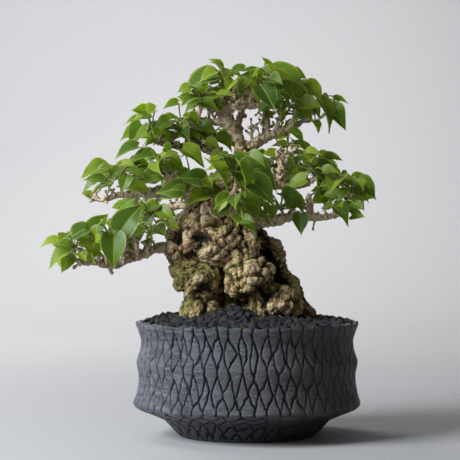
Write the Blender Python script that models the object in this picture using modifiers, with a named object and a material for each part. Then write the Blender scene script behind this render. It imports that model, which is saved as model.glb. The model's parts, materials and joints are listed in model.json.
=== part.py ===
"""A bonsai tree in a round, dark stoneware pot.

The origin is the centre of the pot's flat foot, +Z is up, and -Y is the front.
Tree places are given in millimetres from the soil line, the centre of the pot's rim plane.
"""

import math
import random

import bmesh
import bpy
from mathutils import Matrix, Vector, noise
from mathutils.bvhtree import BVHTree

MM = 0.001

# Driving dimensions, in metres.
POT_HEIGHT = 74.7 * MM
POT_RADIUS = 74.8 * MM  # at the sharp lower ridge, the pot's widest place
FOOT_RADIUS = 44 * MM
RIDGE_HEIGHT = 21 * MM
WAIST_HEIGHT = 37.5 * MM
WAIST_INSET = 3.5 * MM
BAND_HEIGHT = 48 * MM
BAND_INSET = 2.6 * MM
NECK_BELOW_RIM = 12.7 * MM
NECK_INSET = 4.7 * MM
RIM_INSET = 1.4 * MM
RIM_CHAMFER = 0.8 * MM
WALL = 6 * MM
FLOOR = 7 * MM
DRAIN_RADIUS = 5 * MM
DRAIN_CIRCLE = 24 * MM
DRAIN_COUNT = 3
SCREEN_SIDE = 18 * MM
SCREEN_THICKNESS = 1.2 * MM
SCREEN_MESH = 3.2 * MM
SCREEN_BAR = 1.2 * MM
GRAVEL_DEPTH = 10 * MM
DRESSING_DEPTH = 12 * MM
MOUND_HEIGHT = 4 * MM
TREE_HEIGHT = 173 * MM  # soil line to the tip of the crown
LEAF_THICKNESS = 0.02  # half thickness at a leaf's middle, of its length
LEAF_ROOM = 0.05  # the same, for the clear space around a leaf
PETIOLE_RADIUS = 0.45 * MM
SHOOT_RADIUS = 0.9 * MM
GAP = 0.3 * MM  # between pieces that touch
TURN_STEPS = 48
VOXEL = 2.8  # this and the next two are in millimetres of the drawn tree
ROOT_GAP = 0.9  # between the soil and the root mass it fills round
GRAFT_GAP = 0.5  # between the trunk and the limbs that grow from it
TRUNK_KEPT = 0.3  # share of the remeshed trunk's triangles that is kept
KNOB_SCALE = 130  # how closely the trunk's knobs follow each other
KNOB_HEIGHT = 2 * MM

DRAWN_TREE_HEIGHT = 173  # the height that the places below were chosen at
TREE_MM = TREE_HEIGHT / DRAWN_TREE_HEIGHT
SOIL_LINE = Vector((0, 0, POT_HEIGHT))
UP = Vector((0, 0, 1))
FRONT = Vector((0, -1, 0))

# Trunk: rounded lumps as (x, y, z), (half width, half depth, half height).
LUMPS = [
    ((-22, 2, 55), (30, 30, 21)),
    ((-16, 0, 72), (24, 22, 13)),
    ((-9, 1, 88), (15, 14, 11)),
    ((-43, -6, 47), (11, 14, 10)),
    ((-39, -4, 36), (11, 14, 10)),
    ((-33, -12, 28), (14, 14, 12)),
    ((-34, -8, 9), (13, 13, 10)),
    ((1, -18, 29), (16, 15, 15)),
    ((20, -14, 12), (18, 14, 12)),
    ((8, -22, 6), (9, 9, 8)),
    ((14, 18, 36), (12, 11, 20)),
    ((-31, 20, 57), (20, 16, 17)),
    ((-4, 22, 45), (20, 14, 20)),
    ((-17, 14, 19), (24, 20, 20)),
    ((17, 14, 14), (19, 15, 18)),
    ((-4, 0, 2), (36, 24, 10)),
]

# Woody stretches as points (x, y, z, radius) along their centre lines.
BUTTRESS = [
    (8, 4, 62, 4.2), (18, 5, 49, 4.2), (23, 5, 40, 4.4), (26, 4, 32, 5), (32, 3, 24, 6.4),
    (34, 2, 16, 6.8), (38, 0, 9, 7.2), (42, 0, 0, 6.8),
]
UPPER_TRUNK = [
    (-6, 0, 76, 12), (-1, 1, 85, 10), (1, 2, 94, 7.4), (-1, 3, 102, 5.6), (-3, 4, 109, 4.8),
    (-1, 4, 115, 4.6),
]
BURIED_ROOTS = [
    [(-28, -4, 0, 6), (-38, -10, -12, 4), (-46, -16, -26, 3.2)],
    [(-10, -12, 0, 6), (-6, -26, -14, 4), (0, -36, -30, 3.2)],
    [(28, -6, 0, 6), (38, -14, -12, 4), (46, -18, -24, 3.2)],
    [(22, 12, 0, 6), (28, 26, -14, 4), (30, 38, -28, 3.2)],
    [(-18, 14, 0, 6), (-26, 28, -14, 4), (-32, 38, -30, 3.2)],
]

# Branch: name, the pieces it grows from, and its centre lines, the main one first.
BRANCHES = [
    ("limb_crown_left", ["trunk"], [
        [(-2, 4, 114, 2.8), (-6, 3, 121, 3.8), (-11, 1, 130, 3.6), (-14, -1, 137, 3.4),
         (-9, -3, 141, 3.2), (-3, -3, 142, 3), (5, -2, 142, 2.8), (12, -1, 142, 2.2),
         (18, 0, 141, 1.6)],
        [(-12, 1, 132, 2.4), (-22, 3, 131, 2.2), (-31, 3, 132, 1.8), (-39, 2, 130, 1.2)],
        [(-14, -1, 137, 2.4), (-23, -2, 141, 1.9), (-32, -3, 143, 1.5), (-38, -4, 144, 1)],
        [(-9, -3, 141, 2), (-10, -4, 149, 1.6), (-13, -5, 156, 1.1)],
        [(2, -2, 142, 2), (4, -3, 150, 1.5), (6, -4, 157, 1)],
    ]),
    ("limb_crown_right", ["trunk", "limb_crown_left"], [
        [(0, 4, 113, 2.8), (6, 6, 117, 3.5), (12, 7, 121, 3.2), (19, 8, 124, 2.7),
         (27, 9, 126, 2.2), (34, 10, 130, 1.8), (41, 10, 136, 1.4), (47, 9, 139, 1)],
        [(12, 7, 121, 2.6), (13, 9, 130, 2.3), (13, 11, 138, 2), (14, 12, 147, 1.4)],
        [(19, 8, 124, 1.8), (21, 8, 132, 1.5), (25, 9, 140, 1.2), (27, 9, 147, 0.9)],
        [(27, 9, 126, 1.6), (31, 6, 134, 1.3), (33, 4, 142, 1)],
    ]),
    ("branch_crown_back", ["trunk", "limb_crown_left", "limb_crown_right"], [
        [(-6, 4, 120, 2.2), (-5, 24, 135, 2.2), (0, 38, 147, 1.3)],
    ]),
    ("branch_upper_left", ["trunk"], [
        [(-3, 5, 104, 3.4), (-13, 9, 108, 3.2), (-23, 7, 112, 2.9), (-34, 4, 116, 2.6),
         (-44, 0, 115, 2.2), (-54, -3, 116, 1.8), (-62, -6, 119, 1.3)],
        [(-34, 4, 116, 1.6), (-38, 3, 123, 1.3), (-43, 1, 130, 1)],
    ]),
    ("branch_mid_left", ["trunk"], [
        [(-14, -4, 80, 4.8), (-36, -12, 84, 4.2), (-49, -18, 85, 3.8), (-61, -22, 84, 3.2),
         (-74, -25, 83, 2.6), (-84, -27, 82, 2), (-92, -29, 79, 1.6), (-96, -30, 80, 1.2),
         (-98, -30, 84, 0.9)],
        [(-49, -18, 85, 2), (-51, -20, 93, 1.6), (-53, -22, 99, 1.1)],
        [(-74, -25, 83, 1.6), (-76, -27, 89, 1.3), (-80, -29, 93, 1)],
    ]),
    ("branch_low_left", ["trunk"], [
        [(-42, -6, 50, 3.6), (-58, -12, 48, 3.1), (-68, -15, 44, 2.7), (-79, -19, 40, 2.5),
         (-89, -22, 37, 2.3), (-97, -25, 39, 2), (-105, -27, 39, 1.7), (-110, -28, 41, 1.3),
         (-112, -28, 44, 1)],
        [(-79, -19, 40, 1.5), (-80, -19, 46, 1.3), (-82, -20, 52, 1)],
        [(-71, -16, 43, 1.7), (-72, -16, 51, 1.4), (-74, -17, 59, 1)],
        [(-67, -14, 45, 1.6), (-65, -13, 53, 1.2)],
    ]),
    ("branch_low_right", ["trunk"], [
        [(0, -5, 66, 5), (16, -10, 66, 4), (27, -12, 68, 3), (37, -12, 68, 2.6),
         (47, -11, 68, 2.3), (57, -9, 69, 1.8), (65, -8, 71, 1.2)],
        [(40, -12, 68, 2.3), (41, -10, 76, 2.2), (40, -8, 82, 1.6)],
        [(57, -9, 69, 1.5), (64, -8, 76, 1.2), (69, -7, 83, 0.9)],
    ]),
    ("branch_mid_right", ["trunk"], [
        [(-1, 2, 84, 4.4), (10, 4, 89, 3.8), (18, 6, 90, 3.2), (27, 8, 89, 2.8),
         (36, 9, 90, 2.4), (45, 9, 94, 1.7), (50, 8, 99, 1.1)],
        [(21, 6, 90, 2.2), (22, 6, 101, 1.9), (25, 6, 108, 1.8), (23, 6, 115, 1.2)],
    ]),
    ("branch_front", ["trunk"], [
        [(-7, -8, 72, 3.4), (-10, -26, 81, 2.6), (-8, -36, 85, 2), (-7, -42, 89, 1.2)],
    ]),
    ("branch_back_left", ["trunk"], [
        [(-16, 8, 74, 3.8), (-34, 34, 77, 3), (-51, 46, 76, 2.5), (-65, 52, 71, 1.9),
         (-73, 52, 63, 1.2)],
    ]),
    ("branch_back_right", ["trunk"], [
        [(-3, 6, 87, 3.4), (10, 30, 95, 2.6), (23, 44, 97, 2), (37, 52, 100, 1.3)],
    ]),
]

# Leafy shoot: name, its branch, and its leaves as blade base, blade tip, and how far the
# upper side is turned from straight up (0) to straight forward (1).
SHOOTS = [
    ("low_left_tip", "branch_low_left", [
        ((-103, -30, 61), (-118, -33, 53), 0.7),
        ((-113, -32, 47), (-128, -36, 37), 0.5),
        ((-113, -35, 43), (-120, -38, 33), 0.95),
        ((-105, -28, 46), (-106, -30, 38), 0.8),
        ((-118, -27, 53), (-121, -28, 48), 0.8),
    ]),
    ("low_left_inner", "branch_low_left", [
        ((-100, -28, 59), (-89, -26, 71), 0.95),
        ((-85, -38, 57), (-85, -42, 35), 1.0),
        ((-81, -32, 59), (-68, -34, 78), 0.95),
        ((-101, -24, 53), (-104, -25, 46), 0.9),
    ]),
    ("mid_left_tip", "branch_mid_left", [
        ((-90, -32, 99), (-107, -36, 94), 0.55),
        ((-81, -37, 99), (-88, -40, 91), 0.85),
        ((-76, -40, 94), (-80, -44, 83), 0.95),
        ((-69, -30, 103), (-80, -32, 97), 0.55),
        ((-100, -30, 82), (-106, -32, 84), 0.9),
    ]),
    ("mid_left_upper", "branch_mid_left", [
        ((-70, -24, 113), (-86, -28, 107), 0.45),
        ((-60, -30, 107), (-76, -34, 104), 0.4),
        ((-55, -34, 95), (-71, -38, 94), 0.8),
        ((-45, -22, 108), (-59, -27, 103), 0.4),
    ]),
    ("mid_left_front", "branch_mid_left", [
        ((-42, -38, 87), (-57, -44, 84), 1.0),
        ((-28, -34, 92), (-44, -42, 94), 0.9),
        ((-42, -26, 112), (-27, -30, 101), 0.5),
        ((-27, -32, 81), (-40, -38, 77), 0.6),
        ((-20, -30, 83), (-30, -34, 81), 0.5),
    ]),
    ("upper_left_tip", "branch_upper_left", [
        ((-60, -8, 138), (-75, -11, 133), 0.5),
        ((-64, -3, 133), (-81, -5, 132), 0.1),
        ((-68, -14, 128), (-77, -18, 114), 0.9),
        ((-60, -10, 119), (-67, -12, 115), 0.7),
    ]),
    ("upper_left_inner", "branch_upper_left", [
        ((-45, -2, 143), (-55, -6, 140), 0.65),
        ((-50, -10, 131), (-61, -14, 125), 0.8),
        ((-59, -7, 125), (-49, -10, 119), 0.5),
        ((-46, -8, 123), (-38, -11, 119), 0.5),
        ((-37, -6, 123), (-30, -9, 119), 0.5),
        ((-27, -6, 118), (-17, -9, 113), 0.6),
    ]),
    ("crown_left_low", "limb_crown_left", [
        ((-31, -10, 144), (-41, -14, 138), 0.7),
        ((-30, -13, 143), (-18, -16, 138), 0.7),
        ((-28, -2, 150), (-43, -4, 148), 0.3),
        ((-34, 2, 152), (-43, 1, 153), 0.2),
        ((-16, -10, 150), (-27, -14, 145), 0.75),
    ]),
    ("crown_left_top", "limb_crown_left", [
        ((-20, -6, 160), (-44, -11, 154), 0.45),
        ((-32, -12, 155), (-37, -14, 151), 0.6),
        ((-11, -4, 160), (-16, -6, 167), 0.8),
        ((-17, 0, 160), (-22, -1, 166), 0.7),
        ((-9, -14, 157), (-14, -19, 149), 0.85),
        ((-17, 1, 166), (-24, 0, 172), 0.4),
    ]),
    ("crown_top", "limb_crown_left", [
        ((7, -2, 162), (-3, -4, 167), 0.5),
        ((10, -9, 158), (-5, -10, 163), 0.6),
        ((0, -13, 157), (-7, -17, 151), 0.8),
        ((-1, -18, 157), (7, -22, 147), 0.25),
        ((20, 0, 156), (12, -2, 158), 0.5),
    ]),
    ("crown_front", "limb_crown_left", [
        ((9, -20, 153), (18, -27, 137), 0.95),
        ((23, -10, 156), (30, -14, 147), 0.7),
        ((3, -16, 149), (9, -19, 142), 0.6),
    ]),
    ("crown_right_top", "limb_crown_right", [
        ((16, 2, 164), (40, -6, 153), 0.6),
        ((39, 6, 157), (50, 0, 145), 0.7),
        ((29, -6, 153), (37, -11, 145), 0.8),
        ((23, 10, 164), (29, 7, 157), 0.5),
        ((14, 3, 164), (12, 2, 173), 0.9),
    ]),
    ("crown_right_tip", "limb_crown_right", [
        ((46, 1, 146), (58, -4, 126), 0.2),
        ((54, 7, 141), (66, 1, 127), 0.85),
        ((37, -2, 149), (43, -6, 140), 0.8),
        ((34, -5, 140), (44, -9, 132), 0.7),
        ((45, 2, 132), (48, 0, 124), 0.7),
    ]),
    ("front_centre", "branch_front", [
        ((-6, -52, 102), (3, -58, 83), 0.12),
        ((-25, -49, 103), (-11, -55, 87), 0.25),
        ((-11, -46, 106), (-1, -52, 87), 0.75),
        ((-4, -43, 103), (21, -48, 89), 0.5),
        ((1, -49, 91), (17, -55, 77), 0.75),
    ]),
    ("front_low", "branch_front", [
        ((-16, -40, 80), (-19, -44, 71), 1.0),
        ((-7, -44, 70), (6, -50, 59), 0.65),
        ((0, -38, 77), (8, -44, 69), 0.7),
        ((-5, -40, 70), (-7, -44, 62), 0.9),
    ]),
    ("mid_right_shoot", "branch_mid_right", [
        ((28, 3, 125), (39, -1, 118), 0.45),
        ((27, 6, 125), (27, 6, 134), 0.9),
        ((31, 8, 110), (42, 4, 109), 0.1),
        ((36, 4, 109), (47, -1, 100), 0.6),
    ]),
    ("mid_right_tip", "branch_mid_right", [
        ((46, -5, 103), (58, -10, 89), 0.8),
        ((49, -9, 94), (52, -14, 75), 0.8),
        ((28, 4, 101), (35, 0, 95), 0.5),
    ]),
    ("low_right_inner", "branch_low_right", [
        ((22, -20, 84), (38, -25, 73), 0.5),
        ((34, -22, 70), (34, -27, 57), 1.0),
        ((15, -22, 75), (16, -26, 66), 0.9),
        ((9, -28, 82), (18, -32, 76), 0.5),
    ]),
    ("low_right_tip", "branch_low_right", [
        ((55, -18, 75), (67, -24, 65), 0.55),
        ((64, -10, 76), (71, -12, 70), 0.8),
        ((71, -9, 79), (77, -12, 74), 0.7),
        ((58, -15, 81), (66, -17, 88), 0.8),
    ]),
    ("low_right_upper", "branch_low_right", [
        ((62, -6, 95), (70, -10, 88), 0.5),
        ((65, -9, 86), (75, -12, 82), 0.25),
        ((73, -3, 92), (85, -8, 81), 0.75),
        ((57, -2, 99), (62, -4, 92), 0.7),
    ]),
    ("back_left_tip", "branch_back_left", [
        ((-75, 46, 82), (-89, 49, 75), 0.8),
        ((-61, 50, 78), (-71, 48, 71), 0.8),
        ((-60, 46, 60), (-71, 48, 56), 0.6),
        ((-65, 48, 54), (-68, 46, 50), 0.7),
    ]),
]

# Leafy shoots of the sides and the back: name, branch, centre of the leaves, leaf count.
FILLING_SHOOTS = [
    ("low_left_back", "branch_low_left", (-88, -8, 52), 4),
    ("low_left_shoulder", "branch_low_left", (-62, -4, 60), 3),
    ("mid_left_back", "branch_mid_left", (-84, -12, 94), 5),
    ("mid_left_shoulder", "branch_mid_left", (-56, -2, 97), 5),
    ("upper_left_back", "branch_upper_left", (-52, 12, 128), 5),
    ("upper_left_shoulder", "branch_upper_left", (-24, 22, 124), 5),
    ("crown_back_left", "branch_crown_back", (-20, 26, 152), 5),
    ("crown_back", "branch_crown_back", (6, 40, 157), 5),
    ("crown_back_right", "limb_crown_right", (30, 26, 152), 5),
    ("crown_right_back", "limb_crown_right", (50, 20, 143), 4),
    ("crown_right_low", "limb_crown_right", (28, -2, 142), 3),
    ("back_right_tip", "branch_back_right", (44, 58, 106), 5),
    ("back_right_shoulder", "branch_back_right", (16, 46, 106), 5),
    ("back_left_shoulder", "branch_back_left", (-42, 48, 90), 5),
    ("back_left_outer", "branch_back_left", (-76, 62, 76), 4),
    ("mid_right_back", "branch_mid_right", (46, 20, 104), 5),
    ("low_right_back", "branch_low_right", (62, 6, 90), 5),
]


def material(name, colour, roughness):
    made = bpy.data.materials.new(name)
    made.use_nodes = True
    shader = made.node_tree.nodes["Principled BSDF"]
    shader.inputs["Base Color"].default_value = (*colour, 1)
    shader.inputs["Roughness"].default_value = roughness
    shader.inputs["Metallic"].default_value = 0
    return made


def add_object(name, mesh, collection, look=None):
    made = bpy.data.objects.new(name, mesh)
    collection.objects.link(made)
    if look:
        mesh.materials.clear()
        mesh.materials.append(look)
    return made


def hide_helper(helper):
    helper.hide_render = True
    helper.display_type = "WIRE"
    return helper


def evaluated_mesh(source):
    """The object's mesh with its modifiers applied, in world space."""
    bpy.context.view_layer.update()
    graph = bpy.context.evaluated_depsgraph_get()
    mesh = bpy.data.meshes.new_from_object(source.evaluated_get(graph))
    mesh.transform(source.matrix_world)
    return mesh


def tree_point(point):
    return SOIL_LINE + Vector(point[:3]) * TREE_MM


def tube_mesh(points, resolution=1):
    """A closed, tapering tube through points (x, y, z, radius) of the tree."""
    curve = bpy.data.curves.new("tube", "CURVE")
    curve.dimensions = "3D"
    curve.bevel_depth = TREE_MM
    curve.bevel_resolution = resolution
    curve.use_fill_caps = True
    spline = curve.splines.new("POLY")
    spline.points.add(len(points) - 1)
    for knot, point in zip(spline.points, points):
        knot.co = (*tree_point(point), 1)
        knot.radius = point[3]
    guide = bpy.data.objects.new("tube", curve)
    bpy.context.scene.collection.objects.link(guide)
    mesh = evaluated_mesh(guide)
    bpy.data.objects.remove(guide)
    return mesh


def joined_mesh(name, meshes):
    """One mesh that holds every closed shell of the given ones."""
    shells = bmesh.new()
    for mesh in meshes:
        shells.from_mesh(mesh)
    bmesh.ops.remove_doubles(shells, verts=shells.verts, dist=0.001 * MM)
    bmesh.ops.recalc_face_normals(shells, faces=shells.faces)
    joined = bpy.data.meshes.new(name)
    shells.to_mesh(joined)
    shells.free()
    return joined


def add_boolean(target, operation, other, use_self=False):
    modifier = target.modifiers.new(operation.lower() + "_" + other.name, "BOOLEAN")
    modifier.operation = operation
    modifier.object = other
    modifier.solver = "EXACT"
    modifier.use_self = use_self


def clearance_of(source, cutters, gap=GAP):
    """A cutter that stands a gap outside the source's surface."""
    cutter = hide_helper(add_object(source.name + "_room", evaluated_mesh(source), cutters))
    swell = cutter.modifiers.new("gap", "DISPLACE")
    swell.strength = gap
    swell.mid_level = 0
    return cutter


def turned(name, profile, collection, look):
    """A profile (radius, height) that runs down its outer side, turned round the Z axis."""
    outline = bmesh.new()
    corners = [outline.verts.new((radius, 0, height)) for radius, height in profile]
    for corner, following in zip(corners, corners[1:]):
        outline.edges.new((corner, following))
    mesh = bpy.data.meshes.new(name)
    outline.to_mesh(mesh)
    outline.free()
    made = add_object(name, mesh, collection, look)
    screw = made.modifiers.new("turn", "SCREW")
    screw.steps = TURN_STEPS
    screw.render_steps = TURN_STEPS
    screw.use_merge_vertices = True
    screw.merge_threshold = 0.00005
    return made


def outer_profile():
    """The pot's outside from the rim down to the foot, as (radius, height)."""
    neck = POT_HEIGHT - NECK_BELOW_RIM
    rim_radius = POT_RADIUS - RIM_INSET
    under = POT_RADIUS - FOOT_RADIUS
    return [
        (rim_radius - RIM_CHAMFER, POT_HEIGHT),
        (rim_radius, POT_HEIGHT - RIM_CHAMFER),
        ((rim_radius + POT_RADIUS - NECK_INSET) / 2, POT_HEIGHT - NECK_BELOW_RIM * 0.4),
        (POT_RADIUS - NECK_INSET, neck),
        (POT_RADIUS - (NECK_INSET + BAND_INSET) * 0.45, BAND_HEIGHT + (neck - BAND_HEIGHT) * 0.35),
        (POT_RADIUS - BAND_INSET, BAND_HEIGHT),
        (POT_RADIUS - WAIST_INSET, WAIST_HEIGHT),
        (POT_RADIUS - WAIST_INSET * 0.55, RIDGE_HEIGHT + (WAIST_HEIGHT - RIDGE_HEIGHT) * 0.4),
        (POT_RADIUS, RIDGE_HEIGHT),
        (POT_RADIUS - under * 0.08, RIDGE_HEIGHT * 0.87),
        (POT_RADIUS - under * 0.39, RIDGE_HEIGHT * 0.69),
        (POT_RADIUS - under * 0.65, RIDGE_HEIGHT * 0.52),
        (FOOT_RADIUS + under * 0.15, RIDGE_HEIGHT * 0.19),
        (FOOT_RADIUS, 0),
    ]


def inner_profile():
    """The pot's inside from the floor up to the rim, as (radius, height)."""
    rim = POT_RADIUS - RIM_INSET - WALL
    return [
        (FOOT_RADIUS - WALL * 0.5, FLOOR),
        (FOOT_RADIUS + (POT_RADIUS - FOOT_RADIUS) * 0.3, RIDGE_HEIGHT * 0.52 + WALL),
        (POT_RADIUS - NECK_INSET - WALL, RIDGE_HEIGHT + WALL * 1.2),
        (POT_RADIUS - NECK_INSET - WALL, POT_HEIGHT - NECK_BELOW_RIM),
        (rim, POT_HEIGHT - RIM_CHAMFER),
        (rim + RIM_CHAMFER, POT_HEIGHT),
    ]


def inner_radius(height):
    """The pot's inner radius at a height, by the same corners as its profile."""
    corners = inner_profile()
    for (low_radius, low), (high_radius, high) in zip(corners, corners[1:]):
        if low <= height <= high:
            return low_radius + (high_radius - low_radius) * (height - low) / (high - low)
    return corners[-1][0]


def drain_places():
    for step in range(DRAIN_COUNT):
        angle = math.tau * (step + 0.25) / DRAIN_COUNT
        yield Vector((math.cos(angle), math.sin(angle), 0)) * DRAIN_CIRCLE


def make_pot(parts, cutters):
    look = material("dark_stoneware", (0.045, 0.047, 0.055), 0.6)
    profile = outer_profile() + [(0, 0), (0, FLOOR)] + inner_profile()
    pot = turned("pot", profile + profile[:1], parts, look)
    for number, place in enumerate(drain_places(), 1):
        bpy.ops.mesh.primitive_cylinder_add(vertices=16, radius=DRAIN_RADIUS, depth=FLOOR * 3)
        hole = hide_helper(bpy.context.object)
        hole.name = f"drain_hole_{number}"
        hole.location = place
        for owner in list(hole.users_collection):
            owner.objects.unlink(hole)
        cutters.objects.link(hole)
        add_boolean(pot, "DIFFERENCE", hole)


def box(collection, centre, size):
    """A box as a mesh object, with its size applied."""
    shape = bmesh.new()
    bmesh.ops.create_cube(shape, size=1, matrix=Matrix.Diagonal((*size, 1)))
    mesh = bpy.data.meshes.new("box")
    shape.to_mesh(mesh)
    shape.free()
    made = add_object("box", mesh, collection)
    made.location = centre
    return made


def make_screens(parts, cutters):
    """Plastic net over each drainage hole. Returns the cutters of the pockets around them."""
    look = material("screen_plastic", (0.02, 0.02, 0.02), 0.5)
    pitch = SCREEN_MESH + SCREEN_BAR
    across = int((SCREEN_SIDE - SCREEN_BAR) // pitch)
    pockets = []
    for number, place in enumerate(drain_places(), 1):
        centre = place + UP * (FLOOR + GAP + SCREEN_THICKNESS / 2)
        screen = box(parts, centre, (SCREEN_SIDE, SCREEN_SIDE, SCREEN_THICKNESS))
        screen.name = f"drain_screen_{number}"
        screen.data.materials.append(look)
        openings = bmesh.new()
        for column in range(across):
            for row in range(across):
                offset = Vector((column, row, 0)) - Vector((1, 1, 0)) * (across - 1) / 2
                size = Matrix.Diagonal((SCREEN_MESH, SCREEN_MESH, SCREEN_THICKNESS * 3, 1))
                place_there = Matrix.Translation(centre + offset * pitch)
                bmesh.ops.create_cube(openings, size=1, matrix=place_there @ size)
        mesh = bpy.data.meshes.new("screen_openings")
        openings.to_mesh(mesh)
        openings.free()
        cutter = hide_helper(add_object(f"screen_openings_{number}", mesh, cutters))
        add_boolean(screen, "DIFFERENCE", cutter)
        side = SCREEN_SIDE + 2 * GAP
        pocket = box(cutters, centre, (side, side, SCREEN_THICKNESS + 2 * GAP))
        pocket.name = f"screen_pocket_{number}"
        pockets.append(hide_helper(pocket))
    return pockets


def layer_profile(bottom, top, rings=1):
    """A layer that fills the pot between two heights, one gap inside its wall."""
    corners = [height for _, height in inner_profile() if bottom < height < top]
    side = [(inner_radius(height) - GAP, height) for height in [top, *reversed(corners), bottom]]
    reach = side[0][0]
    surface = [(reach * ring / rings, top) for ring in range(rings)]
    return surface + side + [(0, bottom)]


def make_soil(parts, root_room, pockets):
    gravel_top = FLOOR + GAP + GRAVEL_DEPTH
    dressing_bottom = POT_HEIGHT - DRESSING_DEPTH
    gravel_look = material("pumice_gravel", (0.42, 0.38, 0.32), 0.9)
    gravel = turned("drainage_gravel", layer_profile(FLOOR + GAP, gravel_top), parts, gravel_look)
    for pocket in pockets:
        add_boolean(gravel, "DIFFERENCE", pocket)
    soil_look = material("potting_soil", (0.06, 0.045, 0.035), 0.95)
    soil_profile = layer_profile(gravel_top + GAP, dressing_bottom - GAP)
    soil = turned("potting_soil", soil_profile, parts, soil_look)
    add_boolean(soil, "DIFFERENCE", root_room)
    grit_look = material("lava_grit", (0.02, 0.02, 0.022), 0.85)
    grit_top = POT_HEIGHT - RIM_CHAMFER
    profile = layer_profile(dressing_bottom, grit_top, rings=6)
    dressing = turned("top_dressing", profile, parts, grit_look)
    mesh = evaluated_mesh(dressing)
    dressing.modifiers.clear()
    dressing.data = mesh
    reach = inner_radius(grit_top)
    for corner in mesh.vertices:
        inward = 1 - math.hypot(corner.co.x, corner.co.y) / reach
        if corner.co.z > grit_top - MM and inward > 0.02:
            heap = min(1, inward * 3)
            rough = noise.noise(corner.co * 140) * 1.5 * MM
            corner.co.z += MOUND_HEIGHT * heap + rough
    add_boolean(dressing, "DIFFERENCE", root_room)


def make_trunk(parts):
    """Root mass, buttress, buried roots and upper trunk, grown together as one piece."""
    shells = bmesh.new()
    for centre, half in LUMPS:
        size = Matrix.Diagonal((*(Vector(half) * TREE_MM), 1))
        place = Matrix.Translation(tree_point(centre))
        bmesh.ops.create_icosphere(shells, subdivisions=3, radius=1, matrix=place @ size)
    lumps = bpy.data.meshes.new("lumps")
    shells.to_mesh(lumps)
    shells.free()
    stretches = [tube_mesh(points, 3) for points in [BUTTRESS, UPPER_TRUNK, *BURIED_ROOTS]]
    mesh = joined_mesh("trunk", [lumps, *stretches])
    trunk = add_object("trunk", mesh, parts)
    fuse = trunk.modifiers.new("fuse", "REMESH")
    fuse.mode = "VOXEL"
    fuse.voxel_size = VOXEL * TREE_MM
    thin = trunk.modifiers.new("thin_out", "DECIMATE")
    thin.ratio = TRUNK_KEPT
    finished = evaluated_mesh(trunk)
    trunk.modifiers.clear()
    trunk.data = finished
    finished.materials.append(material("knobbly_bark", (0.42, 0.36, 0.24), 0.85))
    for corner in finished.vertices:
        if corner.co.z > POT_HEIGHT:
            corner.co += corner.normal * noise.noise(corner.co * KNOB_SCALE) * KNOB_HEIGHT
    return trunk


def make_branches(parts, cutters, trunk_room):
    """Limbs and branches, each stopping one gap from what it grows from."""
    look = material("branch_bark", (0.24, 0.18, 0.11), 0.85)
    rooms = {"trunk": trunk_room}
    for name, parents, lines in BRANCHES:
        branch = add_object(name, tube_mesh(lines[0]), parts, look)
        weld = branch.modifiers.new("weld_caps", "WELD")
        weld.merge_threshold = 0.00001
        if len(lines) > 1:
            twigs = joined_mesh(name + "_twigs", [tube_mesh(line) for line in lines[1:]])
            helper = hide_helper(add_object(name + "_twigs", twigs, cutters))
            add_boolean(branch, "UNION", helper, use_self=True)
        for parent in parents:
            add_boolean(branch, "DIFFERENCE", rooms[parent])
        rooms[name] = clearance_of(branch, cutters)
    return rooms


def blade_shape(thickness):
    """A heart-shaped blade of unit length along +Y: a thin lens folded along its midrib."""
    reach_by_corner = (0.64, 0.44, 0.47, 0.36)  # from the tip round to the notch
    middle = 0.36
    lens = bmesh.new()
    bmesh.ops.create_uvsphere(lens, u_segments=6, v_segments=2, radius=1)
    for corner in lens.verts:
        if abs(corner.co.z) > 0.5:
            corner.co = (0, middle, math.copysign(thickness, corner.co.z))
            continue
        angle = math.atan2(corner.co.x, corner.co.y)
        reach = reach_by_corner[round(abs(angle) / (math.pi / 3))]
        across = math.sin(angle) * reach
        along = middle + math.cos(angle) * reach
        corner.co = (across, along, abs(across) * 0.35 - along * along * 0.12)
    bmesh.ops.recalc_face_normals(lens, faces=lens.faces)
    mesh = bpy.data.meshes.new("blade")
    lens.to_mesh(mesh)
    lens.free()
    return mesh


def rod(shells, start, end, start_radius, end_radius, sides):
    """A straight tapering rod between two places."""
    run = end - start
    turn = UP.rotation_difference(run).to_matrix().to_4x4()
    place = Matrix.Translation((start + end) / 2) @ turn
    bmesh.ops.create_cone(
        shells, cap_ends=True, segments=sides, radius1=start_radius, radius2=end_radius,
        depth=run.length, matrix=place,
    )


def leaf_shells(shells, blade, stalk_start, base, tip, hint, stalk_radius):
    """A blade from base to tip with its stalk, as closed shells that overlap at the base."""
    ahead = (tip - base).normalized()
    side = ahead.cross(hint).normalized()
    normal = side.cross(ahead)
    turn = Matrix((side, ahead, normal)).transposed().to_4x4()
    size = Matrix.Scale((tip - base).length, 4)
    leaf = blade.copy()
    leaf.transform(Matrix.Translation(base) @ turn @ size)
    shells.from_mesh(leaf)
    bpy.data.meshes.remove(leaf)
    rod(shells, stalk_start, base.lerp(tip, 0.25), stalk_radius * 1.2, stalk_radius * 0.35, 3)


def surface_of(shells):
    """The surface of closed shells, for a test of what it would pass through. Frees them."""
    surface = BVHTree.FromBMesh(shells)
    shells.free()
    return surface


def clear_of(surface, taken):
    return not any(surface.overlap(other) for other in taken)


def filling_leaves(name, centre, count):
    """Leaves spread by rule round a centre, drooping outwards."""
    seeded = random.Random(name)
    leaves = []
    for number in range(count):
        heading = math.tau * (number + seeded.uniform(0.1, 0.5)) / count
        outward = Vector((math.cos(heading), math.sin(heading), 0))
        base = Vector(centre) + outward * seeded.uniform(5, 8) + UP * 5 * math.sin(number * 2.4)
        reach = outward * seeded.uniform(13, 17) - UP * seeded.uniform(2, 8)
        leaves.append((tuple(base), tuple(base + reach), None))
    return leaves


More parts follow.
